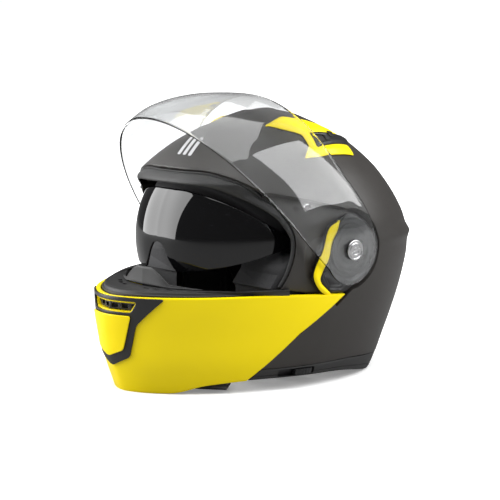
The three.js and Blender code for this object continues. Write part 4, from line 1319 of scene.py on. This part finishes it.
def soft_pad(name, node, voxel, shrink, cap, pressure=4):
    """A stuffed copy of a CAD soft solid, swollen as cloth, each point's move capped. Sizes in mm."""
    piece = merged_copy(name, node)
    apply_modifier(piece, "REMESH", mode="VOXEL", voxel_size=voxel * MM)
    apply_modifier(piece, "SMOOTH", factor=0.6, iterations=4)
    apply_modifier(piece, "DISPLACE", strength=-shrink * MM, mid_level=0)
    start = coordinates(piece.data)
    cloth = piece.modifiers.new("swell", "CLOTH")
    cloth.settings.use_pressure = True
    cloth.settings.uniform_pressure_force = pressure
    cloth.settings.effector_weights.gravity = 0
    for step in range(1, 13):
        bpy.context.scene.frame_set(step)
    swollen = coordinates(piece.evaluated_get(bpy.context.evaluated_depsgraph_get()).data)
    piece.modifiers.remove(cloth)
    bpy.context.scene.frame_set(1)
    move = swollen - start
    length = np.linalg.norm(move, axis=1)
    move *= (np.minimum(length, cap * MM) / np.maximum(length, 1e-9))[:, None]
    piece.data.vertices.foreach_set("co", (start + move).ravel())
    piece.data.update()
    apply_modifier(piece, "SUBSURF", levels=1, render_levels=1)
    smooth(piece, 80)
    return piece


def sew(piece, distance, depth, width):
    """A sewn channel pulled in where distance, a function of drawn points in mm, is nearly nought."""
    at = coordinates(piece.data)
    drawn = at / MM
    drawn[:, 1] -= SHIFT
    pull = depth * np.exp(-(distance(drawn) / width) ** 2) * MM
    normals = np.array([v.normal for v in piece.data.vertices])
    piece.data.vertices.foreach_set("co", (at - normals * pull[:, None]).ravel())
    piece.data.update()


CHEEK = np.array([[-50, 34], [-46, 100], [-30, 112], [10, 112], [26, 98], [30, 40], [22, 30], [-44, 29]],
                 float)
cheek = soft_pad("cheek_pad_cover", "cheek_pad_left", 3.2, 1.0, 2.0)
sew(cheek, lambda p: edge_distance(CHEEK, p[:, 1:]) - 11, 1.5, 1.5)
sew(cheek, lambda p: p[:, 2] - 70 - 0.12 * p[:, 1] + 40 * (edge_distance(CHEEK, p[:, 1:]) < 11), 1.3, 1.5)
for pad in both_sides(cheek, "cheek_pad_cover", lining_fabric, "lining_fabric", "helmet", "cheek_pad"):
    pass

crown = soft_pad("crown_pad_cover", "crown_pad", 3.2, 0.4, 1.6)
sew(crown, lambda p: np.abs(p[:, 0]) - 24, 1.4, 1.5)
sew(crown, lambda p: p[:, 1] - 30, 1.2, 1.5)
finish_piece(crown, lining_fabric, "lining_fabric", "helmet", "crown_pad")
nape = soft_pad("nape_pad_cover", "nape_pad", 3, 0.4, 1.6)
sew(nape, lambda p: np.abs(p[:, 0]) - 30, 1.2, 1.5)
finish_piece(nape, lining_fabric, "lining_fabric", "helmet", "nape_pad")
roll = soft_pad("neck_roll_cover", "neck_roll", 2.6, 0.4, 1.4)
sew(roll, lambda p: (np.arctan2(np.abs(p[:, 0]), p[:, 1] - 28) * 180 / math.pi) % 40 - 20, 1.0, 1.0)
finish_piece(roll, lining_fabric, "lining_fabric", "helmet", "neck_roll")

# ---------------------------------------------------------------- Chin curtain
# A black knitted flap under the chin bar keeps the wind out. It is padded thinly and tucked
# between chin foam and shell.
curtain = merged_copy("chin_curtain_flap", "chin_curtain")
apply_modifier(curtain, "REMESH", mode="VOXEL", voxel_size=1.1 * MM)
apply_modifier(curtain, "SMOOTH", factor=0.5, iterations=2)
smooth(curtain, 60)
finish_piece(curtain, lining_fabric, "lining_fabric", "chin_bar", "chin_curtain")

# ---------------------------------------------------------------- Chin strap
# Two flat nylon webbing straps, riveted to the shell, run under the chin to a micrometric buckle.
webbing = make_material("webbing", (0.02, 0.02, 0.021), 0.75, Sheen_Weight=0.2)
tree = webbing.node_tree
shader = next(node for node in tree.nodes if node.type == "BSDF_PRINCIPLED")
place_node = tree.nodes.new("ShaderNodeTexCoord")
stretch_node = tree.nodes.new("ShaderNodeMapping")
stretch_node.inputs["Scale"].default_value = (95, 46, 1)
weave_node = tree.nodes.new("ShaderNodeTexChecker")
weave_node.inputs["Scale"].default_value = 1
weave_node.inputs["Color1"].default_value = (0.008, 0.008, 0.009, 1)
weave_node.inputs["Color2"].default_value = (0.04, 0.04, 0.042, 1)
bump_node = tree.nodes.new("ShaderNodeBump")
bump_node.inputs["Distance"].default_value = 0.0003
tree.links.new(place_node.outputs["UV"], stretch_node.inputs["Vector"])
tree.links.new(stretch_node.outputs["Vector"], weave_node.inputs["Vector"])
tree.links.new(weave_node.outputs["Color"], shader.inputs["Base Color"])
tree.links.new(weave_node.outputs["Fac"], bump_node.inputs["Height"])
tree.links.new(bump_node.outputs["Normal"], shader.inputs["Normal"])
STRAPS = {"left": [[87, 31], [82, 20], [66, 10.5], [44, 7], [19, 6.6]],
          "right": [[-20, 9.2], [-44, 9.6], [-66, 12.5], [-82, 21], [-87, 31]]}
STRAP_SECTION = [(-10.2, -0.9), (-10.8, -0.5), (-11, 0), (-10.8, 0.5), (-10.2, 0.9), (-9, 0.75), (9, 0.75),
                 (10.2, 0.9),
                 (10.8, 0.5), (11, 0), (10.8, -0.5), (10.2, -0.9), (9, -0.75), (-9, -0.75)]
for side, corners in STRAPS.items():
    line = resample(curve_points(corners, 0.5), 80)

    def strap_place(s, w, line=line):
        at = s * (len(line) - 1)
        k = np.arange(len(line))
        x = np.interp(at, k, line[:, 0])
        z = np.interp(at, k, line[:, 1])
        along = np.gradient(line, axis=0)
        along /= np.linalg.norm(along, axis=1)[:, None]
        nx = -np.interp(at, k, along[:, 1])
        nz = np.interp(at, k, along[:, 0])
        y, rise = round_section(STRAP_SECTION, w)
        return np.column_stack([x + nx * rise, y - 5, z + nz * rise])

    strap = swept(f"chin_strap_webbing_{side}", 80, 56, strap_place)
    finish_piece(strap, webbing, "webbing", "helmet", f"chin_strap_{side}")

# ---------------------------------------------------------------- Metal and moulded small parts
# Stamped and machined steel makes the buckle, anchors, latches and visor pins. Levers and button are
# red nylon, and brackets, arms, track, shutters and grille are black nylon. All have broken edges.
red_plastic = make_material("red_plastic", (0.5, 0.012, 0.01), 0.38)
add_grain(red_plastic, 700, 0.00002, tint=0.1, rough=0.08)
HARD_PARTS = {
    "steel": ["insert_pin", "latch", "strap_anchor", "buckle_body", "buckle_tongue"],
    "red_plastic": ["release_button", "buckle_lever"],
    "rubber_black": ["sun_visor_cable"],
    "trim_black": ["chin_bar_arm", "chin_vent_grille", "crown_vent_shutter", "slider_track",
                   "sun_visor_bracket"],
}
HARD_MATERIALS = {"steel": steel, "red_plastic": red_plastic, "rubber_black": rubber_black,
                  "trim_black": trim_black}
for slot_name, stems in HARD_PARTS.items():
    for node in sorted(frame["nodes"]):
        if not node.startswith(tuple(stems)):
            continue
        part = merged_copy(f"{node}_finished", node)
        bpy.ops.object.mode_set(mode="EDIT")
        bpy.ops.mesh.select_all(action="SELECT")
        bpy.ops.mesh.dissolve_limited(angle_limit=math.radians(1))
        bpy.ops.object.mode_set(mode="OBJECT")
        apply_modifier(part, "BEVEL", width=0.3 * MM, segments=2, limit_method="ANGLE",
                       angle_limit=math.radians(35))
        smooth(part, 35)
        finish_piece(part, HARD_MATERIALS[slot_name], slot_name, body_of(frame["nodes"][node])[0], node)

# ---------------------------------------------------------------- Energy-absorbing foam
# Expanded polystyrene beads are moulded into the liner and the chin bar's block and painted
# dark grey. Only their edges show round the linings.
foam_grey = make_material("foam_grey", (0.035, 0.035, 0.037), 0.85)
add_grain(foam_grey, 330, 0.0004, detail=1, tint=0.35, rough=0.05)
for node, body in (("foam_liner", "helmet"), ("chin_bar_foam", "chin_bar")):
    foam = merged_copy(f"{node}_beads", node)
    smooth(foam, 40)
    finish_piece(foam, foam_grey, "foam_grey", body, node)
